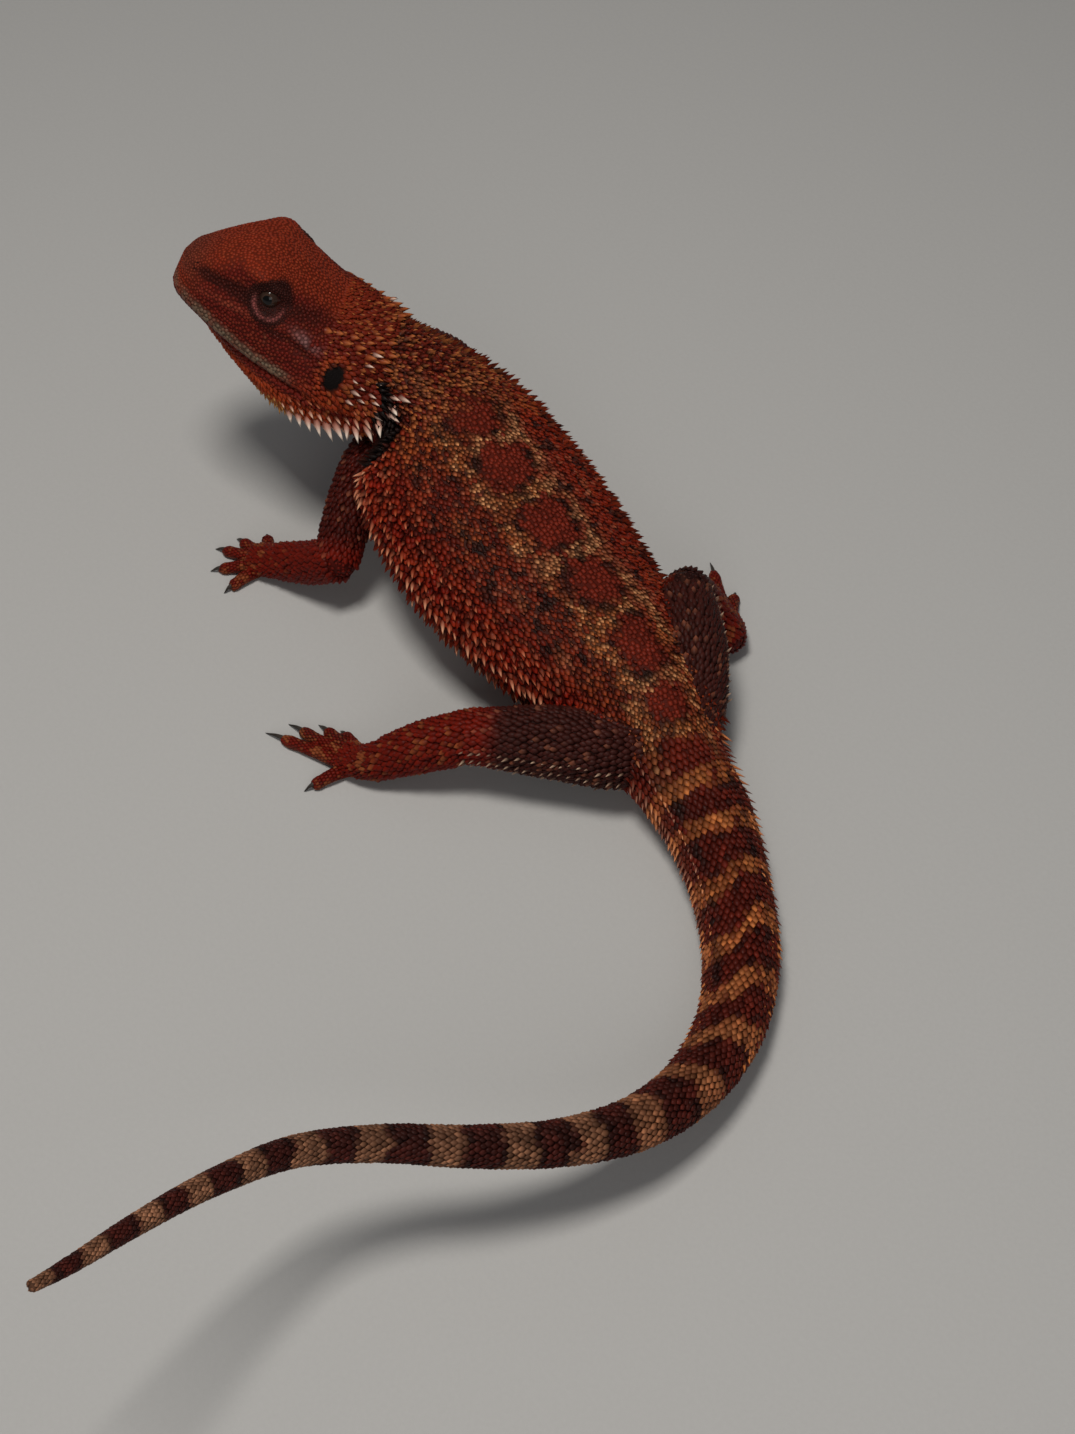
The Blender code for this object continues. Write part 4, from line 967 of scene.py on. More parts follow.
def value_noise(points, size, seed):
    """Smooth random values from 0 to 1 in space, with features of the given size."""
    p = np.asarray(points, float) / size
    cell = np.floor(p).astype(np.int64)
    f = p - cell
    f = f * f * (3 - 2 * f)
    total = np.zeros(len(p))
    for dx, dy, dz in np.ndindex(2, 2, 2):
        key = ((cell[:, 0] + dx) * 73856093 ^ (cell[:, 1] + dy) * 19349663
               ^ (cell[:, 2] + dz) * 83492791 ^ seed * 2654435761)
        hashed = ((key ^ (key >> 13)) * 1274126177) & 0xFFFFFF
        weight = (np.where(dx, f[:, 0], 1 - f[:, 0]) * np.where(dy, f[:, 1], 1 - f[:, 1])
                  * np.where(dz, f[:, 2], 1 - f[:, 2]))
        total += weight * hashed / 0xFFFFFF
    return total


def band_number(t):
    """Number of the pale band at a length along the spine, whole at its middle."""
    return smooth_curve(*zip(*BANDS), t)[0][:, 0]


def trunk_marks(points, t, arc):
    """Shares of the ovals, of the pale net, of black spots and of the pale band round the tail."""
    noise = value_noise(points, 3.4, 1)
    fine = value_noise(points, 1.3, 2)
    wobble = value_noise(points, 6.0, 3)
    stagger = 0.30 * np.tanh(arc / 3.0) * ramp(t, 240, 222) * ramp(t, 150, 190)
    number = band_number(t) + stagger + 0.22 * (noise - 0.5)
    wave = 0.5 + 0.5 * np.cos(2 * math.pi * number)
    side = np.abs(arc) + 2.2 * (wobble - 0.5)
    wide = 5.6 + 0.022 * (t - VENT_AT)
    half = (number % 1.0) - 0.5
    rough = 0.36 * (noise - 0.5) + 0.24 * (fine - 0.5)
    reach = np.sqrt((side / wide) ** 2 + (half / 0.40) ** 2)
    oval = 1 - ramp(reach + rough * 1.5, 0.78, 1.20)
    rung = (1 - ramp(side, wide, wide + 5.0)) * ramp(wave, 0.72, 0.97)
    stripe = bump(side, wide + 2.6, 4.2) * np.where(arc > 0, 1.0, 0.62)
    net = np.clip(np.maximum(rung, stripe) * (2.3 * noise - 0.28), 0, 1) * (1 - oval)
    outer = bump(side, wide + 13.0, 3.0) * ramp(wave, 0.3, 0.8) * ramp(noise, 0.45, 0.7)
    net = np.maximum(net, outer * 0.35)
    patchy = value_noise(points, 2.6, 5)
    rim = bump(reach, 1.08, 0.26) * ramp(patchy, 0.47, 0.6)
    spots = np.maximum(rim, ramp(patchy, 0.68, 0.78) * ramp(side, wide, wide + 4))
    return oval, net * ramp(fine, 0.12, 0.48), spots, wave


def throat_share(t, arc, share, noise):
    """Share of the black collar behind the beard; on the side turned out of the bend it stays lower."""
    share = share - 0.09 * (arc <= 0)
    collar = ramp(t, NECK_AT - 16, NECK_AT - 10) * ramp(share + 0.08 * (noise - 0.5), 0.34, 0.385)
    return collar * (1 - 0.6 * ramp(share, 0.52, 0.62))


def left_side(p):
    """Points of the head's frame, mirrored to its left side."""
    return p * (1, 0, 1) + np.abs(p) * (0, 1, 0)


def ear_reach(p, margin=0.0):
    """Distance from the middle of the ear opening, 1 at its rim or at a margin round it."""
    ahead, above = (p[:, 0] - EAR[0]) / (EAR[4] + margin), (p[:, 2] - EAR[2]) / (EAR[3] + margin)
    return np.sqrt(ahead ** 2 + above ** 2)


def ear_share(p):
    """The same distance, large for points that aren't on the ear's side."""
    return np.where(np.abs(p[:, 1]) > EAR_SIDE, ear_reach(p), FAR_FROM_EAR)


def eye_distance(p):
    """Distance of points in the head's frame from the middle of the nearer eye."""
    return np.linalg.norm(left_side(p) - np.array(EYE), axis=1)


def head_map(p, rear=12, long=66):
    """Places in the bake map for points in the head's frame, unrolled about its length."""
    turn = np.arctan2(p[:, 1], p[:, 2] - 5) / (2 * math.pi)
    return np.stack([(p[:, 0] + rear) / long, 0.5 + turn], axis=1)


def scale_size(width, long, wide, tall):
    """Lengths, widths and heights of scales from their spacing."""
    return np.stack([width * long, width * wide, width * tall], axis=1)


def body_colours(c, points, t, arc, share, draw):
    """Base and tip colours of the scales of trunk, neck and tail."""
    n = len(t)
    noise = value_noise(points, 3.2, 1)
    fine = value_noise(points, 1.6, 2)
    broad = value_noise(points, 11.0, 4)
    oval, net, spots, wave = trunk_marks(points, t, arc)
    side = np.abs(arc)
    speck = draw.random(n)
    on_tail = 1 - ramp(t, VENT_AT - 12, VENT_AT + 10)
    far = 1 - ramp(t, *TAIL_CLEAR)
    flank = ramp(share, 0.27, 0.42)
    grain = net * (1 - flank)
    shoulder = ramp(t, NECK_AT - 36, NECK_AT - 18)
    amber = ramp(broad, 0.58 - 0.2 * shoulder, 0.8 - 0.2 * shoulder) * (1 - oval) * (1 - grain)
    amber = amber * (speck > 0.5 - 0.1 * shoulder) * (0.28 + 0.3 * shoulder) * (1 - flank)
    black = np.clip(spots * (1 - 0.45 * flank), 0, 1)
    trunk = layered(c["brick"], (
        (c["mahogany"], ramp(broad, 0.35, 0.7)),
        (c["brick"] * 1.1, oval * 0.8),
        (c["flank"] * (0.95, 0.8, 0.8), 0.95 * flank * (arc > 0)),
        (c["flank"] * (1.0, 1.25, 1.0), 0.85 * ramp(share, 0.13, 0.26) * (arc <= 0))))
    low = layered(trunk * blend(0.42, 0.85, oval), (
        (c["gold"] * 0.16, grain * 0.8),
        (c["soot"], black * 0.9)))
    high = layered(trunk * 1.25, (
        (c["rust"], (1 - oval) * 0.35 * ramp(noise, 0.3, 0.7)),
        (blend(c["tan"], c["gold"], ramp(broad, 0.3, 0.7)), grain * (0.55 + 0.45 * speck)),
        (c["tan"] * 1.5, ramp(net, 0.3, 0.6) * (1 - flank) * (speck > 0.75) * 0.6),
        (c["rose"], (speck > 0.88) * 0.35 * ramp(side, 7, 12) * (1 - oval)),
        (c["gold"] * (1.0, 0.7, 0.5), amber),
        (c["soot"] * 1.6, black * 0.85)))
    # Bands run all round the tail; they grow clearer towards its tip
    dark = blend(c["mahogany"] * 0.78, c["tail_dark"], far)
    light = blend(c["gold"] * 0.84, c["tail_pale"] * 1.05, far)
    band = ramp(wave, 0.58 - 0.08 * far, 0.84 - 0.08 * far) * (1 - 0.6 * ramp(fine, 0.55, 0.75) * (1 - far))
    band = band * (1 - (1 - far) * np.clip(0.6 * ramp(speck, 0.72, 0.9) + 0.5 * ramp(noise, 0.5, 0.3), 0, 1))
    edge = bump(wave, 0.42, 0.16)
    tuft = bump(share, 0.25, 0.10) * ramp(noise, 0.42, 0.58) * (1 - far)
    tail = blend(blend(dark, c["soot"], np.maximum(edge * 0.7, tuft * 0.9)), light, band * (1 - 0.8 * tuft))
    gloss = bump(arc, 0, 3.5) * far * ramp(t, 40, 90) * 0.45
    tail = blend(tail, c["soot"] * 1.5, gloss)
    tail = tail * (0.55 + 0.9 * fine)[:, None]
    tail_low = blend(tail * 0.7, dark * 0.6, band * (0.65 - 0.3 * far))
    rosy = 0.45 * bump(share, 0.44, 0.12) * (1 - far) * (0.2 + 0.8 * band)
    tail_high = blend(tail * (1.0 + 0.9 * draw.random((n, 1)) ** 2), c["rose"], rosy)
    under = ramp(share, 0.60, 0.74) * (1 - 0.75 * on_tail)
    nape = ramp(t, NECK_AT - 22, NECK_AT - 4) * (1 - flank)
    throat = throat_share(t, arc, share, noise)
    low = layered(low, ((tail_low, on_tail), (c["belly"] * 0.8, under), (c["mahogany"] * 0.5, nape * 0.6),
                        (c["soot"] * 0.7, throat)))
    high = layered(high, ((tail_high, on_tail), (c["belly"] * 1.1, under), (c["brick"] * 1.2, nape * 0.6),
                          (c["gold"], nape * (speck > 0.62) * 0.8), (c["soot"] * 1.2, throat)))
    shade = vary(draw, n, 0.22)
    return low * shade, high * shade


def head_colours(c, points, draw):
    """Base and tip colours of the scales of the head, from their places in its frame."""
    p = left_side(model_to_head(points))
    x, out, z = p.T
    noise = value_noise(points, 2.6, 7)
    fine = value_noise(points, 1.1, 8)
    above = z - mouth_level(x)
    below = ramp(-above, 0.2, 1.2)
    level = stripe_level(x)
    wide = 1.6 + 1.5 * bump(x, EYE[0] + 3, 11)
    stripe = bump(z, level, wide * 1.5) * ramp(x, 4, 14) * (1 - ramp(x, 43, 48)) * ramp(out, 7, 10)
    stripe *= 0.45 + 0.55 * ramp(x, 12, 20)
    temple = bump(x, 12.5, 6.5) * bump(z, temple_level(x), 2.1) * ramp(out, 10, 14)
    fold = bump(x, 13.0, 9.0) * bump(z, temple_level(x) - 2.9, 1.5) * ramp(out, 10, 14)
    ridge = bump(x, 30, 20) * bump(z, level - 4.2, 1.7) * ramp(out, 6, 9)
    shade_below = bump(np.hypot((x - 21.5) / 7.0, (z - 10.2) / 2.0), 0, 1) * ramp(out, 9, 12)
    gleam = bump(np.hypot((x - 20.8) / 3.4, (z - 7.4) / 1.3), 0, 1) * ramp(fine, 0.3, 0.6)
    lip = bump(above, 1.9, 2.5) * ramp(x, 9, 16)
    lip = lip * (1 - 0.4 * ramp(x, 40, 49)) * (0.45 + 0.55 * ramp(fine, 0.2, 0.6))
    jowl = bump(x, 0, 16) * bump(z, -3, 9) * ramp(out, 12, 16)
    hem = ramp(-above, 6.0, 9.0) * ramp(x, -2, 10) * below
    edge_level = np.interp(x, [-17.0, -14.0, -10.0, -6.0, 0.0], [1.0, -2.5, -6.5, -8.5, -13.0])
    black = (1 - ramp(z, edge_level - 1.5, edge_level)) * (1 - ramp(x, -6, -1))
    away = np.hypot(x - EYE[0], z - EYE[2])
    lid = (1 - ramp(away, 5.4, 6.4)) * (out > 8)
    arc_share = ramp(EYE[2] - z, -1.0, 1.5) * bump(away, 4.1, 0.85)
    # The ear opening is painted near black: painted shade in the hollow
    ear_shade = 1 - ramp(ear_share(p), 0.85, 1.12)
    rear = 1 - ramp(x, -2, 9)
    shadow = bump(x, 14, 13) * bump(z, 16.5, 4.5) * ramp(out, 11, 14)
    base = layered(c["crown"], (
        (c["cheek"], ramp(out, 8.0, 13.0) * (1 - ramp(z, 19.5, 21.5))),
        (c["snout"], ramp(x, 40, 49) * ramp(above, 4.0, 8.0) * 0.75),
        (c["brick"] * 0.9, (1 - ramp(x, -4, 8)) * 0.6),
        (c["stripe"], np.clip(stripe * 1.35, 0, 1) * 0.85),
        (c["lavender"] * 1.35, temple * 0.95 * ramp(noise, 0.2, 0.45)),
        (c["stripe"] * 1.4, fold * 0.7),
        (c["flank"] * (1.0, 3.0, 7.0), ridge * (0.35 + 0.6 * noise)),
        (c["stripe"], shade_below * 0.8),
        (c["lip"] * (2.4, 1.9, 1.5), gleam * ramp(out, 9, 12) * 0.8),
        (c["lip"], lip),
        (c["beard"], np.maximum(jowl * 0.8, bump(ear_reach(p, 1.4), 0.9, 0.25) * 0.9)),
        (blend(c["cheek"] * 1.1, c["beard"], ramp(-above, 2.0, 5.0)), below),
        (c["beard_edge"], hem * 0.8 * ramp(noise, 0.2, 0.6)),
        (c["soot"], black * 0.9),
        (blend(c["stripe"], c["lavender"] * (1.5, 0.85, 0.8), arc_share * 0.9), lid),
        (c["soot"] * 0.3, ear_shade),
        (c["mahogany"], rear * ramp(z, 0, 6) * 0.5),
        (c["mahogany"] * 0.7, shadow * 0.6 * (1 - temple))))
    speck = (draw.random(len(x)) > 0.72) * (1 - stripe) * (1 - ear_shade) * (1 - lid)
    tip = blend(base * 1.25, c["gold"], speck * (0.12 + 0.45 * rear))
    shade = vary(draw, len(x), 0.12)
    return base * shade, tip * shade


def leg_colours(c, name, part, points, share, draw):
    """Base and tip colours on a leg; share runs from 0 at its root to 1 at the toes."""
    n = len(points)
    noise = value_noise(points, 2.8, 11)
    speck = draw.random(n)
    hind = name.startswith("hind")
    knee = 0.56 if name == "hind_right" else 0.44
    lower = ramp(share, knee, knee + 0.08) if part < 2 else np.ones(n)
    base = blend(c["thigh"] if hind else c["maroon"], c["limb"], lower)
    edge = c["rose"] if part == 0 else c["limb_pale"]
    dull = (part == 0) if hind else (part < 2)
    lit = 0.3 * (speck > 0.86) if dull else 0.62 * (speck > 0.72)
    tip = blend(base * 1.4, edge, lit * ramp(noise, 0.3, 0.5))
    base = base * 0.75
    if part == 2:
        base = blend(base, c["thigh"] * 1.2, ramp(noise, 0.58, 0.72) * 0.7 * hind)
        gilt = ramp(value_noise(points, 1.9, 13), 0.60, 0.74) * 0.5
        base, tip = blend(base, c["limb_pale"] * 0.8, gilt), blend(tip, c["limb_pale"] * 1.1, gilt)
    under = 1 - ramp(points[:, 2], 0.6, 2.2)
    base = blend(base, c["belly"] * 0.8, under * 0.5)
    shade = vary(draw, n, 0.18)
    return base * shade, tip * shade


def palette():
    """The colour properties as arrays, by name."""
    group = bpy.context.scene.dragon_colours
    return {name: np.array(getattr(group, name)[:]) for name in DragonColours.__annotations__}


def tube_scales(field, tube, spots, towards):
    """Roots, normals and lies on the skin for the spots of a lattice, and their distances from the tube."""
    place, normal, distance = field.project(tube.point(spots[:, 0], spots[:, 1]))
    return place, normal, tube.frame(spots[:, 0])[1] * towards, distance


def new_group(name, inputs, outputs):
    """A shader node group with the given sockets: name, kind and default value."""
    group = bpy.data.node_groups.new(name, "ShaderNodeTree")
    for label, kind, value in inputs:
        socket = group.interface.new_socket(name=label, in_out="INPUT", socket_type="NodeSocket" + kind)
        socket.default_value = value
    for label, kind in outputs:
        group.interface.new_socket(name=label, in_out="OUTPUT", socket_type="NodeSocket" + kind)
    return group, group.nodes.new("NodeGroupInput"), group.nodes.new("NodeGroupOutput")


def add_node(tree, kind, feeds=None, **settings):
    """A shader node with its settings; feeds has a socket or a value for each input."""
    node = tree.nodes.new("ShaderNode" + kind)
    for name, value in settings.items():
        setattr(node, name, value)
    for name, source in (feeds or {}).items():
        if isinstance(source, bpy.types.NodeSocket):
            tree.links.new(source, node.inputs[name])
        else:
            node.inputs[name].default_value = source
    return node


def mottle_group():
    """Uneven pigment: varies a colour's brightness in soft patches and fine grains."""
    group, into, out = new_group(
        "pigment", [("Colour", "Color", (0.5, 0.5, 0.5, 1)), ("Patches", "Float", 900.0),
                    ("Grain", "Float", 4200.0), ("Depth", "Float", 0.25)],
        [("Colour", "Color"), ("Grain", "Float")])
    place = add_node(group, "TexCoord").outputs["Object"]
    soft, fine = [add_node(group, "TexNoise", {"Vector": place, "Scale": into.outputs[label], "Detail": 3.0})
                  .outputs["Fac"] for label in ("Patches", "Grain")]
    total = add_node(group, "Math", {0: soft, 1: fine}, operation="ADD")
    centred = add_node(group, "Math", {0: total.outputs[0], 1: 1.0}, operation="SUBTRACT")
    gain = add_node(group, "Math", {0: centred.outputs[0], 1: into.outputs["Depth"], 2: 1.0},
                    operation="MULTIPLY_ADD")
    tone = add_node(group, "HueSaturation", {"Color": into.outputs["Colour"], "Value": gain.outputs[0]})
    group.links.new(tone.outputs["Color"], out.inputs["Colour"])
    group.links.new(fine, out.inputs["Grain"])
    return group


def relief_group():
    """Fine wrinkles and pores as a height, and the roughness that goes with them."""
    group, into, out = new_group(
        "relief", [("Scale", "Float", 2500.0), ("Low", "Float", 0.45), ("High", "Float", 0.7)],
        [("Height", "Float"), ("Roughness", "Float")])
    feeds = {"Vector": add_node(group, "TexCoord").outputs["Object"], "Scale": into.outputs["Scale"]}
    pores = add_node(group, "TexVoronoi", feeds).outputs["Distance"]
    wrinkle = add_node(group, "TexNoise", feeds).outputs["Fac"]
    height = add_node(group, "Math", {0: pores, 1: wrinkle}, operation="ADD")
    spread = add_node(group, "MapRange", {"Value": wrinkle, "From Min": 0.3, "From Max": 0.7,
                                          "To Min": into.outputs["Low"], "To Max": into.outputs["High"]})
    group.links.new(height.outputs[0], out.inputs["Height"])
    group.links.new(spread.outputs["Result"], out.inputs["Roughness"])
    return group


def skin_material(name, low, high, depth=0.25, bump_height=0.35, grain=2500.0, coat=0.0):
    """A material that takes its colour from the tint and its finish from the shared groups."""
    mat = bpy.data.materials.new(name)
    mat.use_nodes = True
    tree, groups = mat.node_tree, bpy.data.node_groups
    tint = add_node(tree, "Attribute", attribute_name="tint")
    pigment = add_node(tree, "Group", {"Colour": tint.outputs["Color"], "Depth": depth},
                       node_tree=groups.get("pigment") or mottle_group())
    relief = add_node(tree, "Group", {"Scale": grain, "Low": low, "High": high},
                      node_tree=groups.get("relief") or relief_group())
    bumps = add_node(tree, "Bump", {"Strength": bump_height, "Distance": BUMP_DEPTH,
                                    "Height": relief.outputs["Height"]})
    shader = tree.nodes["Principled BSDF"]
    tree.links.new(pigment.outputs["Colour"], shader.inputs["Base Color"])
    tree.links.new(relief.outputs["Roughness"], shader.inputs["Roughness"])
    tree.links.new(bumps.outputs["Normal"], shader.inputs["Normal"])
    shader.inputs["Specular IOR Level"].default_value = GLOSS
    shader.inputs["Coat Weight"].default_value = coat
    shader.inputs["Coat Roughness"].default_value = WET_ROUGHNESS
    return mat


def finish_coat(coat, material):
    """Build a coat's mesh, give it its material and hang it on the body."""
    obj = coat.build()
    obj.data.materials.append(material)
    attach(obj, "root")
    for name, rows in zip(("roots", "colours"), coat.roots()):
        WORK.setdefault(name, []).append(rows)


def skin_field(piece):
    """The field of the skin, which must be made before the piece."""
    if "field" not in WORK:
        raise RuntimeError("The %s need the skin to be made first" % piece)
    return WORK["field"]


class DRAGON_OT_stage(bpy.types.Operator):
    """Pale floor, soft lights and the camera"""
    bl_idname = "dragon.stage"
    bl_label = "Stage"

    def execute(self, context):
        colours, sizes = palette(), context.scene.dragon_sizes
        corners = np.array([(-1, -1, 0), (1, -1, 0), (1, 1, 0), (-1, 1, 0)], float) * FLOOR_HALF
        floor = add_tinted("floor", corners, [np.array([[0, 1, 2, 3]])], np.tile(colours["floor"], (4, 1)))
        floor.data.materials.append(skin_material("pale_floor", 0.75, 0.92, 0.08, 0.15, 900.0))
        world = bpy.data.worlds.new("studio")
        context.scene.world = world
        world.use_nodes = True
        air = world.node_tree.nodes["Background"]
        air.inputs["Color"].default_value = AIR_COLOUR
        air.inputs["Strength"].default_value = AIR_STRENGTH
        for name, lamp in LAMPS.items():
            self.lamp(name, *lamp)
        context.scene.view_settings.view_transform = "Standard"
        lens = bpy.data.cameras.new("camera")
        lens.sensor_fit = "VERTICAL"
        lens.sensor_height = SENSOR_HEIGHT
        lens.lens = SENSOR_HEIGHT * FOCAL_LENGTHS
        camera = add_object("camera", lens)
        right, up = Vector(CAMERA_RIGHT), Vector(CAMERA_UP)
        turn = Matrix((right, up, right.cross(up))).transposed().to_4x4()
        camera.matrix_world = Matrix.Translation((*CAMERA_PLACE, sizes.camera_height)) @ turn
        context.scene.camera = camera
        return {"FINISHED"}

    def lamp(self, name, place, target, size, power, colour):
        """A soft square light that points at the target."""
        light = bpy.data.lights.new(name, "AREA")
        light.size, light.energy, light.color = size, power, colour
        place, target = Vector(place) * MM, Vector(target) * MM
        turn = (target - place).to_track_quat("-Z", "Y").to_matrix().to_4x4()
        add_object(name, light).matrix_world = Matrix.Translation(place) @ turn


class DRAGON_OT_skin(bpy.types.Operator):
    """One skin over the whole body, in place of the solids of flesh"""
    bl_idname = "dragon.skin"
    bl_label = "Skin"

    def execute(self, context):
        skin = build_skin(context.scene.dragon_sizes)
        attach(skin, "root")
        nodes = [n for n in frame["nodes"] if not n.startswith("eye_")]
        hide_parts(*nodes)
        WORK["field"] = SkinField(skin)
        return {"FINISHED"}


class DRAGON_OT_body_scales(bpy.types.Operator):
    """Keeled scales in rows on the tail; plates, grains and thorns on the trunk and the neck"""
    bl_idname = "dragon.body_scales"
    bl_label = "Body scales"

    def execute(self, context):
        field = skin_field("body scales")
        sizes, colours = context.scene.dragon_sizes, palette()
        draw = np.random.default_rng(SEED)
        back, base, tip = sizes.back_pitch / MM, sizes.tail_pitch / MM, sizes.tip_pitch / MM

        def pitch(t):
            slim = float(np.clip((t - 8) / (VENT_AT - 60), 0, 1)) ** 0.75
            return tip + (base - tip) * slim

        spots = lattice(BODY, 1.0, VENT_AT + 2, pitch)
        place, normal, lie, distance = tube_scales(field, BODY, spots, -1.0)
        t, _, arc, share, step = spots.T
        jitter = (draw.random((len(t), 2)) - 0.5) * 0.3
        side = np.cross(normal, lie)
        place = place + lie * (jitter[:, :1] * step[:, None]) + side * (jitter[:, 1:] * step[:, None])
        low, high = body_colours(colours, place, t, arc, share, draw)
        proud = 1.35 - 0.7 * ramp(t, *TAIL_FLAT)
        size = scale_size(step, 1.42, 1.02, sizes.relief * proud) * vary(draw, len(t), 0.12)
        material = skin_material("back_scales", 0.38, 0.62)
        k = distance < OFF_TUBE["tail"]
        coat = Coat("tail_scales")
        coat.add("keeled", place[k], normal[k], lie[k], size[k], low[k], high[k], self.bake(t, arc, share)[k])
        finish_coat(coat, material)
        self.trunk(field, sizes, colours, draw, material, back, place[k])
        return {"FINISHED"}

    def bake(self, t, arc, share):
        """Places of scales on the unwrapped body."""
        where = np.stack([t / BODY.length, 0.5 + 0.5 * np.sign(arc) * share], axis=1)
        return where * 0.98 + 0.01

    def trunk(self, field, sizes, colours, draw, material, pitch, taken):
        """Plates in the ovals, fine grains in the pale net and thorns over the sides of the trunk."""
        centre = field.verts[field.tris].mean(axis=1)
        ahead = (centre - BODY.point([VENT_AT], np.zeros(1))) @ BODY.frame(VENT_AT)[1][0]
        head = model_to_head(centre)
        keep = (ahead > -3) & (head[:, 0] < HEAD_REAR + 2)
        place, normal = field.scatter(TRUNK_TRIES, keep.astype(float), draw)
        rows, distance = BodyMap(BODY).find(place)
        k = (distance < OFF_TUBE["trunk"]) & (rows[:, 0] > VENT_AT + 1)
        place, normal, rows = place[k], normal[k], rows[k]
        t, _, arc, share = rows.T
        oval, net = trunk_marks(place, t, arc)[:2]
        flank = ramp(share, 0.26, 0.40) * (1 - ramp(share, 0.56, 0.62))
        belly = ramp(share, 0.60, 0.66)
        neck = ramp(t, NECK_AT - 14, NECK_AT)
        big = 3.0 - 0.9 * flank - 0.9 * neck
        choice = draw.random(len(t)) < np.clip(0.9 - oval - 0.75 * net + neck, 0, 1) * (1 - belly)
        tried = np.flatnonzero(choice)
        thorns = tried[settle(place[tried], big[tried])]
        radius = pitch * (0.90 + 0.12 * oval - 0.24 * net + 0.2 * flank + 0.25 * belly)
        small = settle(place, radius, np.concatenate([taken, place[thorns]]))
        lie = -BODY.frame(t)[1]
        low, high = body_colours(colours, place, t, arc, share, draw)
        where = self.bake(t, arc, share)
        smooth = oval[small] + belly[small] > 0.5
        flat, keel = small[smooth], small[~smooth]
        tall = sizes.relief * (1.35 + 0.5 * flank - 0.2 * net)
        size = scale_size(radius, 1.75, 1.18, tall) * vary(draw, len(t), 0.15)
        plate = scale_size(radius, 1.18, 1.10, 0.36) * vary(draw, len(t), 0.1)
        spike = sizes.spine_length * (0.82 + 0.58 * flank + 0.3 * neck)
        thorn = scale_size(spike, 1.5, 1.3, 1.6) * vary(draw, len(t), 0.2)
        warm = ramp(draw.random(len(t)), 0.6, 1.0) * (0.25 + 0.2 * flank)
        warm = warm * (1 - throat_share(t, arc, share, value_noise(place, 3.2, 1)))
        sharp = blend(high * 1.15, colours["rose"], warm * np.where(arc > 0, 1.0, 0.25))
        dark = low * (0.45 + 0.35 * flank[:, None])
        middle = VENT_AT + 0.52 * (BODY.length - VENT_AT)
        kinds = (("plate", flat, plate, low, high), ("keeled", keel, size, low, high),
                 ("thorn", thorns, thorn, dark, sharp))
        for name, sign, half in (("rear_scales_left", 1, -1), ("rear_scales_right", -1, -1),
                                 ("fore_scales_left", 1, 1), ("fore_scales_right", -1, 1)):
            coat = Coat(name)
            for form, chosen, shape, foot, top in kinds:
                k = chosen[(np.sign(arc[chosen] + 1e-9) == sign) & (np.sign(t[chosen] - middle) == half)]
                coat.add(form, place[k], normal[k], lie[k], shape[k], foot[k], top[k], where[k])
            finish_coat(coat, material)


class DRAGON_OT_leg_scales(bpy.types.Operator):
    """Keeled scales on the legs and small ones on the toes"""
    bl_idname = "dragon.leg_scales"
    bl_label = "Leg scales"

    def execute(self, context):
        field = skin_field("leg scales")
        sizes, colours = context.scene.dragon_sizes, palette()
        draw = np.random.default_rng(SEED + 1)
        material = skin_material("leg_scales", 0.42, 0.62)
        pitch, toe = sizes.limb_pitch / MM, sizes.toe_pitch / MM
        for index, (name, pieces) in enumerate(ANATOMY.legs.items()):
            coat = Coat("scales_" + name)
            total = sum(tube.length for tube in pieces)
            before, taken = 0.0, []
            for part, tube in enumerate(pieces):
                fine = toe * 1.1 if part == 2 else pitch
                spots = lattice(tube, 0.3, tube.length, lambda t: fine)
                place, normal, lie, distance = tube_scales(field, tube, spots, 1.0)
                shift = (draw.random((len(place), 2)) - 0.5) * 0.45 * fine
                place = place + lie * shift[:, :1] + np.cross(normal, lie) * shift[:, 1:]
                k = distance < OFF_TUBE["leg"]
                if taken:
                    k &= clear_of(place, fine * 0.62, taken)
                share = (before + spots[k, 0]) / total
                low, high = leg_colours(colours, name, part, place[k], share, draw)
                size = scale_size(spots[k, 4], 1.5, 1.05, sizes.relief * 1.45)
                size *= vary(draw, len(size), 0.14)
                around = 0.5 + 0.48 * np.sign(spots[k, 2]) * spots[k, 3]
                where = np.stack([(index + share * 0.8) / 4, around], axis=1)
                coat.add("keeled", place[k], normal[k], lie[k], size, low, high, where)
                taken.append(place[k])
                before += tube.length
            for number, (tube, _, _, _) in enumerate(ANATOMY.digits[name]):
                spots = lattice(tube, 0.4, tube.length, lambda t: toe)
                place, normal, lie, distance = tube_scales(field, tube, spots, 1.0)
                k = (distance < OFF_TUBE["toe"]) & (place[:, 2] > 0.25) & clear_of(place, toe * 0.6, taken)
                low, high = leg_colours(colours, name, 2, place[k], np.ones(k.sum()), draw)
                size = scale_size(spots[k, 4], 1.15, 1.05, 0.30)
                where = np.stack([(index + 0.82 + 0.15 * spots[k, 0] / tube.length) / 4,
                                  (number + 0.5 + 0.45 * np.sign(spots[k, 2]) * spots[k, 3]) / 5], axis=1)
                coat.add("plate", place[k], normal[k], lie[k], size, low, high, where)
                taken.append(place[k])
            finish_coat(coat, material)
        return {"FINISHED"}


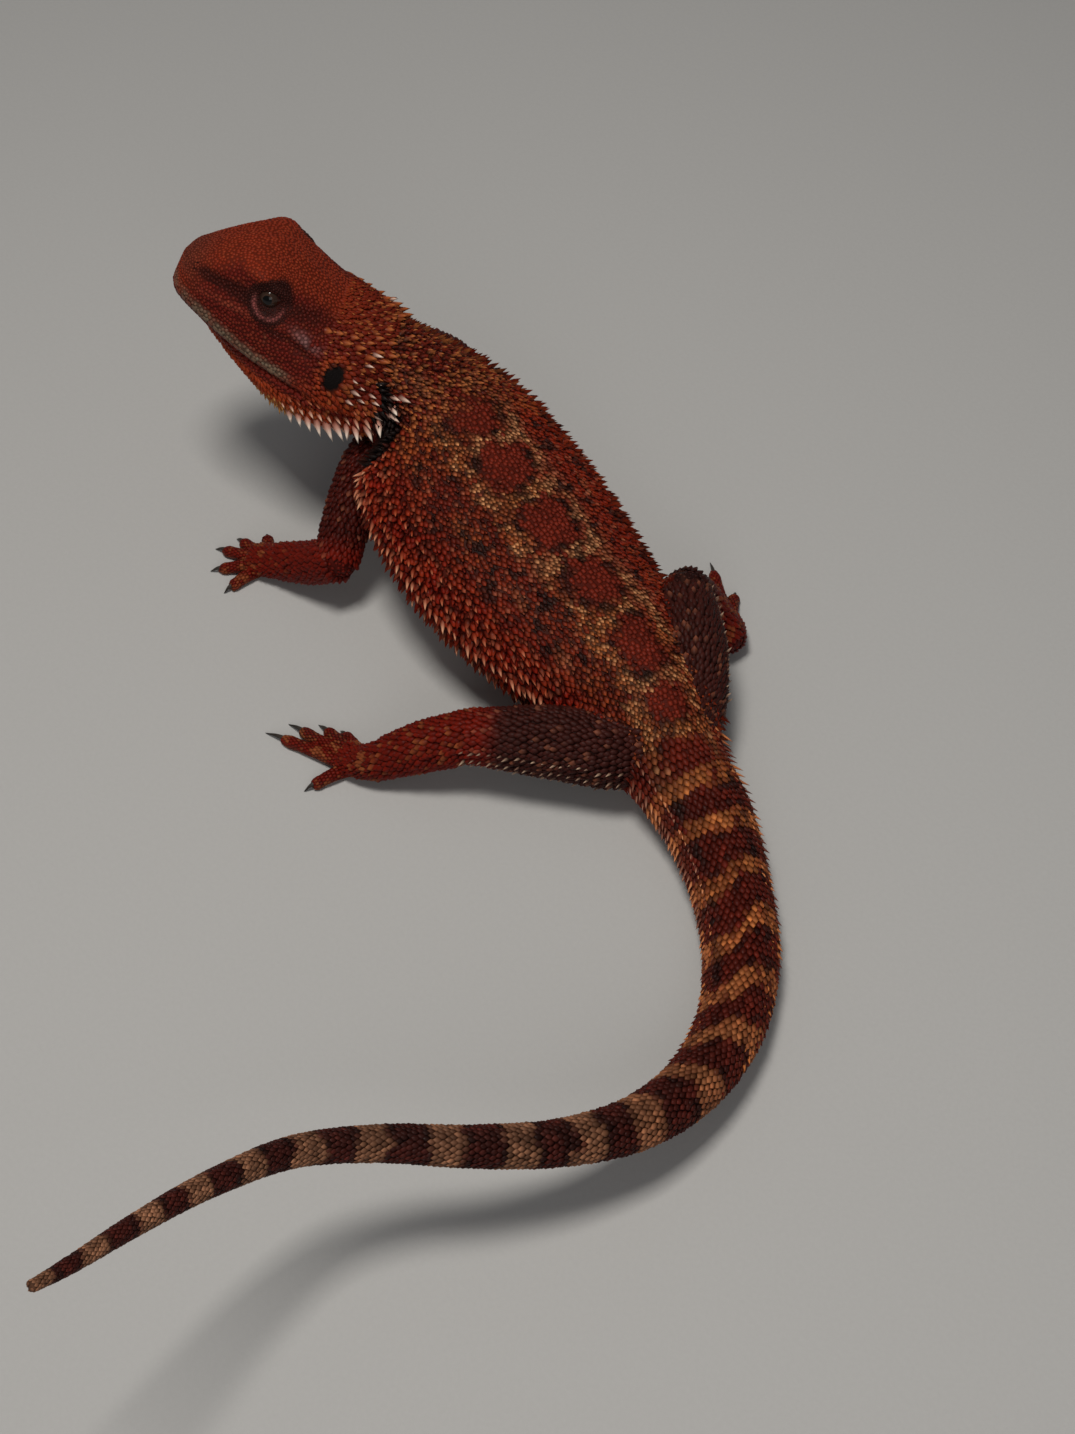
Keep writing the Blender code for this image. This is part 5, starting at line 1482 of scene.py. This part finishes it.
class DRAGON_OT_head_scales(bpy.types.Operator):
    """Beads and plates of the head, the lids and the lips"""
    bl_idname = "dragon.head_scales"
    bl_label = "Head scales"

    def execute(self, context):
        field = skin_field("head scales")
        sizes, colours = context.scene.dragon_sizes, palette()
        draw = np.random.default_rng(SEED + 2)
        coat = Coat("head_scales")
        lip_places = self.lips(field, coat, colours, draw)
        centre = model_to_head(field.verts[field.tris].mean(axis=1))
        pad = (left_side(centre) - np.array(JOWL)) / np.array(JOWL_RADII)
        inside = (centre[:, 0] > HEAD_REAR - 0.5) | (np.linalg.norm(pad, axis=1) < 1.06)
        inside &= (np.abs(centre[:, 1]) < 25) & (np.abs(centre[:, 2]) < 27) & (centre[:, 0] > -20)
        place, normal = field.scatter(HEAD_TRIES, inside.astype(float), draw)
        p = model_to_head(place)
        away = np.hypot(p[:, 0] - EYE[0], p[:, 2] - EYE[2])
        fine, coarse = sizes.lid_pitch / MM, sizes.head_pitch / MM
        radius = blend(fine, coarse, ramp(away, 5.2, 8.0))[:, 0]
        radius *= 1 - 0.25 * ramp(p[:, 0], 38, 48)
        radius *= 1 + 0.45 * np.maximum(1 - ramp(p[:, 0], -2, 8), 0.6 * ramp(-p[:, 2], 3, 7))
        kept = settle(place, radius * 0.86, np.concatenate([lip_places] + WORK["roots"]))
        k = kept[(ear_share(p[kept]) > 0.95) & (eye_distance(p[kept]) > EYE_RADIUS + 0.35)]
        place, normal, radius, p = place[k], normal[k], radius[k], p[k]
        low, high = head_colours(colours, place, draw)
        lie = -HEAD_AXES[0] - 0.35 * HEAD_AXES[2] * (p[:, 2:3] < 2)
        rear = (p[:, 0] < 8) | (p[:, 2] < -5)
        size = scale_size(radius, 1.10, 1.08, 0.22) * vary(draw, len(place), 0.10)
        where = head_map(p)
        for form, k, factor in (("bead", ~rear, (1.0, 1.0, 1.0)), ("keeled", rear, (1.45, 1.0, 3.4))):
            coat.add(form, place[k], normal[k], lie[k], size[k] * factor, low[k], high[k], where[k])
        finish_coat(coat, skin_material("head_scales", 0.40, 0.62, 0.2, 0.3))
        return {"FINISHED"}

    def lips(self, field, coat, colours, draw):
        """Rows of plates along the upper and lower lips."""
        roots = []
        for mirror in (1, -1):
            for rise, tall in ((1.15, 1.7), (-1.25, 1.6)):
                x = np.arange(5.0, 49.5, 1.75)
                p = head_section(x, np.full(len(x), math.copysign(0.02, rise)))
                p[:, 2] = mouth_level(x) + rise
                p[:, 1] *= mirror
                place, normal, _ = field.project(head_to_model(p))
                low, high = head_colours(colours, place, draw)
                size = np.array((1.72, tall, 0.34)) * vary(draw, len(x), 0.05)
                lie = -np.gradient(place, axis=0)
                coat.add("plate", place, normal, lie, size, low, high, head_map(p))
                roots.append(place)
        return np.concatenate(roots)


class DRAGON_OT_fill_scales(bpy.types.Operator):
    """Granules wherever the rows leave the skin bare"""
    bl_idname = "dragon.fill_scales"
    bl_label = "Filling scales"

    def execute(self, context):
        field = skin_field("filling scales")
        draw = np.random.default_rng(SEED + 3)
        roots = np.concatenate(WORK["roots"])
        tints = np.concatenate(WORK["colours"])
        place, normal = field.scatter(FILL_TRIES, np.ones(len(field.tris)), draw)
        p = model_to_head(place)
        k = (eye_distance(p) > EYE_RADIUS + 0.4) & (ear_share(p) > 1.0) & (place[:, 2] > 0.2)
        place, normal = place[k], normal[k]
        kept = settle(place, np.full(len(place), FILL_GAP), roots)
        place, normal = place[kept], normal[kept]
        low = tints[nearest(roots, place)] * vary(draw, len(place), 0.12)
        size = np.array((1.0, 0.95, 0.30)) * vary(draw, len(place), 0.15)
        lie = np.array((-1.0, 0.0, -0.2))
        box_low, box_size = field.verts.min(axis=0), np.ptp(field.verts, axis=0)
        where = (place[:, :2] - box_low[:2]) / box_size[:2] * (0.98, 0.48) + 0.01
        where[:, 1] += 0.5 * (normal[:, 2] < 0)
        coat = Coat("granules")
        coat.add("bead", place, normal, lie, size, low, low * 1.3, where)
        finish_coat(coat, skin_material("granules", 0.45, 0.68))
        return {"FINISHED"}


class DRAGON_OT_spines(bpy.types.Operator):
    """Spines of the beard, the ear, the nape, the flanks, the tail's base and the thighs"""
    bl_idname = "dragon.spines"
    bl_label = "Spines"

    def execute(self, context):
        self.field = skin_field("spines")
        self.sizes, self.colours = context.scene.dragon_sizes, palette()
        self.draw = np.random.default_rng(SEED + 4)
        head, body = Coat("head_spines"), Coat("body_spines")
        self.beard(head)
        self.nape(head)
        self.ear(head)
        self.flanks(body)
        self.neck(body)
        self.tail(body)
        self.thighs(body)
        self.arms(body)
        material = skin_material("spines", 0.34, 0.52, 0.12, 0.15)
        finish_coat(head, material)
        finish_coat(body, material)
        return {"FINISHED"}

    def plant(self, coat, spots, rear, shape, tints, where, uneven, keep=slice(None)):
        """Spines on the skin at spots; shape is length, radius and lean, uneven how far they vary."""
        place, normal = spots
        length, radius, lean = shape
        n = len(place)
        size = np.stack([np.full(n, radius * 2), np.full(n, radius * 2),
                         np.broadcast_to(length, (n,)) * self.sizes.spine_length], axis=1)
        size = size * vary(self.draw, n, uneven[0])
        shade = vary(self.draw, n, uneven[1])
        base, tip = (np.broadcast_to(tint, (n, 3)) * shade for tint in tints)
        rows = (place, unit(normal + lean * rear), np.broadcast_to(rear, (n, 3)), size, base, tip, where)
        coat.add("spine", *(row[keep] for row in rows))

    def head_row(self, coat, x, degrees, shape, base, tip):
        """A row of spines on both sides of the head, at x and angle, leaning to the rear."""
        x, degrees = np.broadcast_arrays(x, degrees)
        for mirror in (1, -1):
            angle = np.radians(degrees) if mirror > 0 else math.pi - np.radians(degrees)
            place, normal, _ = self.field.project(head_to_model(head_section(x, angle)))
            p = model_to_head(place)
            self.plant(coat, (place, normal), -HEAD_AXES[0], shape, (base, tip),
                       np.clip(head_map(p), 0.01, 0.99), (0.13, 0.10), ear_share(p) > 1.2)

    def at_head(self, coat, points, shape, base, tip, rear=(-1.0, 0.0, -0.25)):
        """Spines on both sides at points of the left side of the head, leaning to the rear."""
        for mirror in (1, -1):
            place, normal, _ = self.field.project(on_side(np.atleast_2d(points), mirror))
            back = (np.array(rear) * (1, mirror, 1)) @ HEAD_AXES
            where = np.clip(head_map(model_to_head(place), 20, 72), 0.01, 0.99)
            self.plant(coat, (place, normal), back, shape, (base, tip), where, (0.12, 0.10))

    def edge_row(self, x, rise=0.0, inward=0.0):
        """Points along the edge of the beard at the given places, shifted up or inward."""
        knots = np.array(BEARD_EDGE)[::-1]
        yz = smooth_curve(knots[:, 0], knots[:, 1:], x)[0]
        return np.stack([x, yz[:, 0] - inward, yz[:, 1] + rise], axis=1)

    def beard(self, coat):
        """Rows along the jaw: ivory at its rear, small and yellow ahead, red with pale tips above."""
        c = self.colours
        ivory, pink = c["ivory"], c["ivory"] * (0.92, 0.72, 0.62)
        yellow = c["beard_edge"] * 1.3
        x = np.linspace(8.5, -16.4, 11)
        length = 3.6 + 1.8 * ramp(x, 9, 0)
        self.at_head(coat, self.edge_row(x), (length, 1.42, 0.45), c["beard"] * 1.2, ivory)
        x = np.linspace(11, -15, 12)
        for spots, shape, tip in (((x, 3.0, -0.6), (2.2 + 1.2 * ramp(x, 9, -6), 0.74, 0.8), pink),
                                  ((x, -1.6, 3.2), (2.6, 0.74, 0.6), pink),
                                  ((x - 1.0, 6.0, -0.6), (1.7, 0.62, 1.1), c["rose"])):
            self.at_head(coat, self.edge_row(*spots), shape, c["beard"], tip)
        for rise, inward, size in ((0.0, 0.0, 2.5), (1.7, -0.4, 1.9), (3.4, -0.5, 1.3), (-1.2, 2.2, 2.2)):
            x = np.arange(27.0, 9.5, -1.55) + 0.5 * rise
            length = size * (0.6 + 0.5 * ramp(x, 25, 12))
            self.at_head(coat, self.edge_row(x, rise, inward), (length, 0.72, 0.5), c["beard"], yellow)
        for inward, rise in ((6.0, -2.2), (9.5, -2.6), (13.0, -2.8)):
            x = np.arange(20.0, -8.0, -3.0)
            self.at_head(coat, self.edge_row(x, rise, inward), (2.0, 0.6, 0.9), c["beard"] * 0.8, yellow)

    def ear(self, coat):
        """Pale spines behind the ear, at the corner of the crown and at the rear of the jowl."""
        c = self.colours
        pale = c["ivory"] * (1.0, 0.84, 0.80)
        for *spot, length in EAR_SPINES:
            shape = (length, 0.30 * length - 0.05, 1.0)
            self.at_head(coat, spot, shape, c["cheek"], pale, (-1.0, 0.15, 0.10))

    def nape(self, coat):
        """Rows of tan-tipped spines across the back of the head."""
        c = self.colours
        for row, x in enumerate((7.0, 4.4, 1.8, -0.8, -3.4, -6.0, -8.6)):
            degrees = np.arange(26 + 5 * (row % 2), 90, 9.5)
            shape = (1.1 + 0.16 * row, 0.62, 0.8)
            self.head_row(coat, x, degrees, shape, c["mahogany"], c["gold"])
        for x, degrees, length in NAPE_CREST:
            shape = (length * 0.74, 1.25, 0.4)
            self.head_row(coat, [x], degrees, shape, c["brick"], c["gold"] * (0.9, 0.8, 0.8))

    def along_tube(self, coat, tube, t, angle, shape, towards, base, tip, place_at):
        """A row of spines on a tube, leaning forward or, where towards is negative, back along it."""
        t, angle, place_at = np.broadcast_arrays(t, angle, place_at)
        place, normal, distance = self.field.project(tube.point(t, angle))
        where = np.stack([t / tube.length, place_at], axis=1)
        self.plant(coat, (place, normal), tube.frame(t)[1] * towards, shape, (base, tip),
                   where * 0.98 + 0.01, (0.16, 0.14), distance < OFF_TUBE["spine"])

    def flanks(self, coat):
        """Four fringes of spines along each flank, the longest at its edge."""
        c = self.colours
        start, end = BODY.knots[FLANK_SPINES] - 4, SHOULDER_AT + 1
        for flank, up in FLANKS:
            for rise, length, gap, radius in ((0.06, 3.6, 2.2, 0.88), (-0.28, 2.8, 2.3, 0.75),
                                              (0.26, 3.0, 2.4, 0.80), (0.48, 2.3, 2.7, 0.72)):
                t = np.arange(start + self.draw.random() * gap, end, gap)
                n = len(t)
                t = t + gap * 0.3 * (self.draw.random(n) - 0.5)
                angle = flank + up * (rise + 0.10 * (self.draw.random(n) - 0.5))
                length = length * (0.78 + 0.44 * self.draw.random(n))
                paleness = (0.30 + 0.65 * self.draw.random(n)) * (1.0 if rise < 0.2 else 0.35)
                pale = blend(c["rust"], c["ivory"] * (0.85, 0.52, 0.36), paleness)
                tip = pale if up > 0 else c["rust"]
                self.along_tube(coat, BODY, t, angle, (length, radius, 0.85), -1.0,
                                c["flank"] * (0.9 if up > 0 else 0.5), tip,
                                0.25 + 0.5 * (up < 0) + rise * 0.1)

    def neck(self, coat):
        """Rows of small spines across the neck."""
        c = self.colours
        for row, t in enumerate(np.arange(NECK_AT - 8, BODY.length - 1, NECK_ROW_GAP)):
            degrees = np.arange(12 + 6 * (row % 2), 170, NECK_SPINE_TURN)
            near = degrees < 90
            dark = ramp(np.abs(degrees - 90), np.where(near, 50, 64), np.where(near, 60, 76))
            base = blend(c["brick"], c["soot"], dark)
            tip = blend(c["gold"], c["soot"] * 2, dark)
            self.along_tube(coat, BODY, t, np.radians(degrees), (1.4, 0.68, 0.6), -1.0,
                            base, tip, degrees / 360)

    def tail(self, coat):
        """Pointed scales along the sides of the tail's base."""
        c = self.colours
        for side, up in FLANKS:
            for rise, scale in ((0.28, 0.30), (-0.02, 0.24), (0.62, 0.15)):
                t = np.arange(BODY.knots[TAIL_SPINES], VENT_AT + 6, 2.1)
                size = smooth_curve(BODY.knots, BODY.rows[:, 3], t)[0][:, 0] * scale
                wave = 0.5 + 0.5 * np.cos(2 * math.pi * band_number(t))
                base = blend(c["mahogany"], c["gold"], ramp(wave, 0.45, 0.7))
                paleness = ramp(t, 190, 235) * (0.5 if up > 0 else 0.15)
                paleness = paleness * (0.4 + 0.6 * self.draw.random(len(t)))
                tip = blend(base, c["ivory"] * (0.85, 0.52, 0.40), paleness)
                self.along_tube(coat, BODY, t, side + up * rise, (size, 0.62, 1.0), -1.0, base, tip,
                                0.25 + 0.5 * (up < 0) + rise * 0.1)

    def thighs(self, coat):
        """Pale spines along the rear edge of the thighs."""
        c = self.colours
        for name in ("hind_left", "hind_right"):
            tube = ANATOMY.legs[name][0]
            for turn, length in ((-0.15, 2.3), (0.25, 1.9), (-0.5, 1.8)):
                t = np.arange(tube.knots[1] + 3, tube.length + 1, 2.3)
                n = len(t)
                t = t + 0.8 * (self.draw.random(n) - 0.5)
                rear = np.where(tube.frame(t)[2][:, 0] < 0, 0.0, math.pi)
                angle = rear + (turn + 0.12 * (self.draw.random(n) - 0.5)) * np.where(rear > 1, -1, 1)
                pale = blend(c["thigh"] * 2.5, c["ivory"] * (0.70, 0.56, 0.46),
                             0.25 + 0.7 * self.draw.random(n))
                shape = (length * (0.8 + 0.4 * self.draw.random(n)), 0.58, 0.6)
                self.along_tube(coat, tube, t, angle, shape, 1.0, c["thigh"], pale, 0.5 + turn * 0.2)

    def arms(self, coat):
        """Ridged scales with pale tips on the upper arms and the lower edge of the forearms."""
        c = self.colours
        for name in ("fore_left", "fore_right"):
            for part, base in ((0, c["maroon"]), (1, c["limb"])):
                tube = ANATOMY.legs[name][part]
                for degrees in (20, 60, 100, 140, -20, 200):
                    t = np.arange(tube.length * 0.25, tube.length, 2.6)
                    self.along_tube(coat, tube, t, math.radians(degrees), (1.25, 0.5, 1.0), 1.0, base,
                                    c["limb"] * (1.5, 2.5, 3.0), degrees / 400 + 0.3)


class DRAGON_OT_eyes(bpy.types.Operator):
    """Eyeballs with pupil, iris and a clear wet surface"""
    bl_idname = "dragon.eyes"
    bl_label = "Eyes"

    def execute(self, context):
        colours = palette()
        draw = np.random.default_rng(SEED + 5)
        for side, mirror in (("left", 1), ("right", -1)):
            axis = unit(np.array(EYE_AXIS) * (1, mirror, 1)) @ HEAD_AXES
            across = unit(np.cross(axis, (0, 0, 1.0)))
            axes = [axis, across, np.cross(axis, across)]
            centre = on_side(EYE, mirror)
            verts, faces = ball(centre, axes, [EYE_RADIUS] * 3, 96, 96)
            spread = verts - centre
            turn = np.arctan2(spread @ axes[2], spread @ axes[1])
            reach = np.degrees(np.arccos(np.clip(spread @ axis / EYE_RADIUS, -1, 1)))
            cornea = 0.55 * bump(reach, 0, 40)
            verts = verts + spread * (cornea / EYE_RADIUS)[:, None]
            streak = 0.5 + 0.5 * np.sin(turn * 37 + 2.0 * np.sin(turn * 11)) * draw.random(len(turn))
            tint = layered(colours["iris"], (
                (colours["iris"] * 0.35, streak * 0.7),
                (colours["iris"] * 1.5, bump(reach, 17, 3.5) * 0.7),
                (colours["stripe"], ramp(reach, *IRIS_EDGE)),
                (np.array(PUPIL_BLACK), 1 - ramp(reach, *PUPIL_EDGE)),
                (colours["stripe"] * 0.6, ramp(reach, *BALL_EDGE))))
            obj = add_tinted("eyeball_" + side, verts, faces, tint)
            material = skin_material("eye_" + side, 0.10, 0.16, 0.1, 0.0, 2500.0, coat=0.35)
            obj.data.materials.append(material)
            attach(obj, "root")
            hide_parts("eye_" + side)
        return {"FINISHED"}


class DRAGON_OT_claws(bpy.types.Operator):
    """Hooked claws at the ends of the digits"""
    bl_idname = "dragon.claws"
    bl_label = "Claws"

    def execute(self, context):
        colours = palette()
        turns = 2 * math.pi * np.arange(CLAW_SIDES)[:, None] / CLAW_SIDES
        shares = np.linspace(0, 1, CLAW_RINGS)
        up = np.array((0, 0, 1.0))
        tint = blend(colours["claw"] * 1.6, colours["claw"] * 0.6, np.repeat(shares, CLAW_SIDES))
        tint = np.concatenate([tint, tint[:1], tint[-1:]])
        parts = []
        for _, root, ahead, reach in sum(ANATOMY.digits.values(), []):
            start = (1 - CLAW_SHARE - 0.06) * reach
            length = reach - start
            left = np.cross(up, ahead)
            rings = []
            for share in shares:
                radius = DIGIT_RADIUS * 0.52 * (1 - share) ** 0.75 + 0.05
                arch = 0.55 * math.sin(math.pi * min(1, share * 1.15)) - 0.95 * share**2
                level = max(DIGIT_RADIUS * 0.72 + arch, radius * 1.05)
                centre = np.array([*(root[:2] + ahead[:2] * (start + length * share)), level])
                rings.append(centre + radius * (left * np.cos(turns) * 0.8 + up * np.sin(turns)))
            parts.append(loft(rings, floor=0.0))
        obj = add_tinted("claws", *join_parts(parts), np.tile(tint, (len(parts), 1)))
        obj.data.materials.append(skin_material("claw_horn", 0.25, 0.4, 0.3, 0.1))
        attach(obj, "root")
        return {"FINISHED"}


class DRAGON_OT_skin_markings(bpy.types.Operator):
    """Paint the skin with the markings of the scales that stand on it"""
    bl_idname = "dragon.skin_markings"
    bl_label = "Skin markings"

    def execute(self, context):
        verts, colours = skin_field("skin markings").verts, palette()
        skin = bpy.data.objects["skin"]
        roots, tints = np.concatenate(WORK["roots"]), np.concatenate(WORK["colours"])
        p = model_to_head(verts)
        nose = np.linalg.norm(left_side(p) - np.array(NOSTRIL[:3]), axis=1)
        mouth = np.abs(p[:, 2] - mouth_level(p[:, 0])) < 0.45
        mouth &= (p[:, 0] > MOUTH_CORNER) & (p[:, 0] < HEAD_TIP + 2)
        # Ear openings and nostrils are painted near black: painted shade in these hollows
        hollow = np.maximum(1 - ramp(ear_share(p), 0.8, 1.0), 1 - ramp(nose, 0.9, 1.2))
        colour = blend(tints[nearest(roots, verts)] * 0.55, colours["soot"] * 0.3, hollow)
        write_tint(skin.data, blend(colour, colours["stripe"], mouth * 0.9))
        skin.data.materials.clear()
        skin.data.materials.append(skin_material("skin", 0.5, 0.72, 0.25, 0.5))
        return {"FINISHED"}


class DRAGON_PT_panel(bpy.types.Panel):
    """Sizes, colours and building steps of the dragon"""
    bl_idname = "DRAGON_PT_panel"
    bl_label = "Bearded dragon"
    bl_space_type = "VIEW_3D"
    bl_region_type = "UI"
    bl_category = "Dragon"

    def draw(self, context):
        layout = self.layout
        for group in (context.scene.dragon_sizes, context.scene.dragon_colours):
            box = layout.box()
            for name in group.__annotations__:
                box.prop(group, name)
        for operator in OPERATORS:
            layout.operator(operator.bl_idname)


OPERATORS = (DRAGON_OT_stage, DRAGON_OT_skin, DRAGON_OT_body_scales, DRAGON_OT_leg_scales,
             DRAGON_OT_head_scales, DRAGON_OT_fill_scales, DRAGON_OT_spines, DRAGON_OT_eyes,
             DRAGON_OT_claws, DRAGON_OT_skin_markings)
CLASSES = (DragonSizes, DragonColours) + OPERATORS + (DRAGON_PT_panel,)


def register():
    """Add the classes and the properties of the scene."""
    for cls in CLASSES:
        bpy.utils.register_class(cls)
    bpy.types.Scene.dragon_sizes = PointerProperty(type=DragonSizes)
    bpy.types.Scene.dragon_colours = PointerProperty(type=DragonColours)


def unregister():
    """Take away the properties and the classes."""
    del bpy.types.Scene.dragon_colours
    del bpy.types.Scene.dragon_sizes
    for cls in reversed(CLASSES):
        bpy.utils.unregister_class(cls)


def main():
    """Build every piece in order."""
    register()
    for operator in OPERATORS:
        group, name = operator.bl_idname.split(".")
        getattr(getattr(bpy.ops, group), name)()


if __name__ == "__main__":
    main()
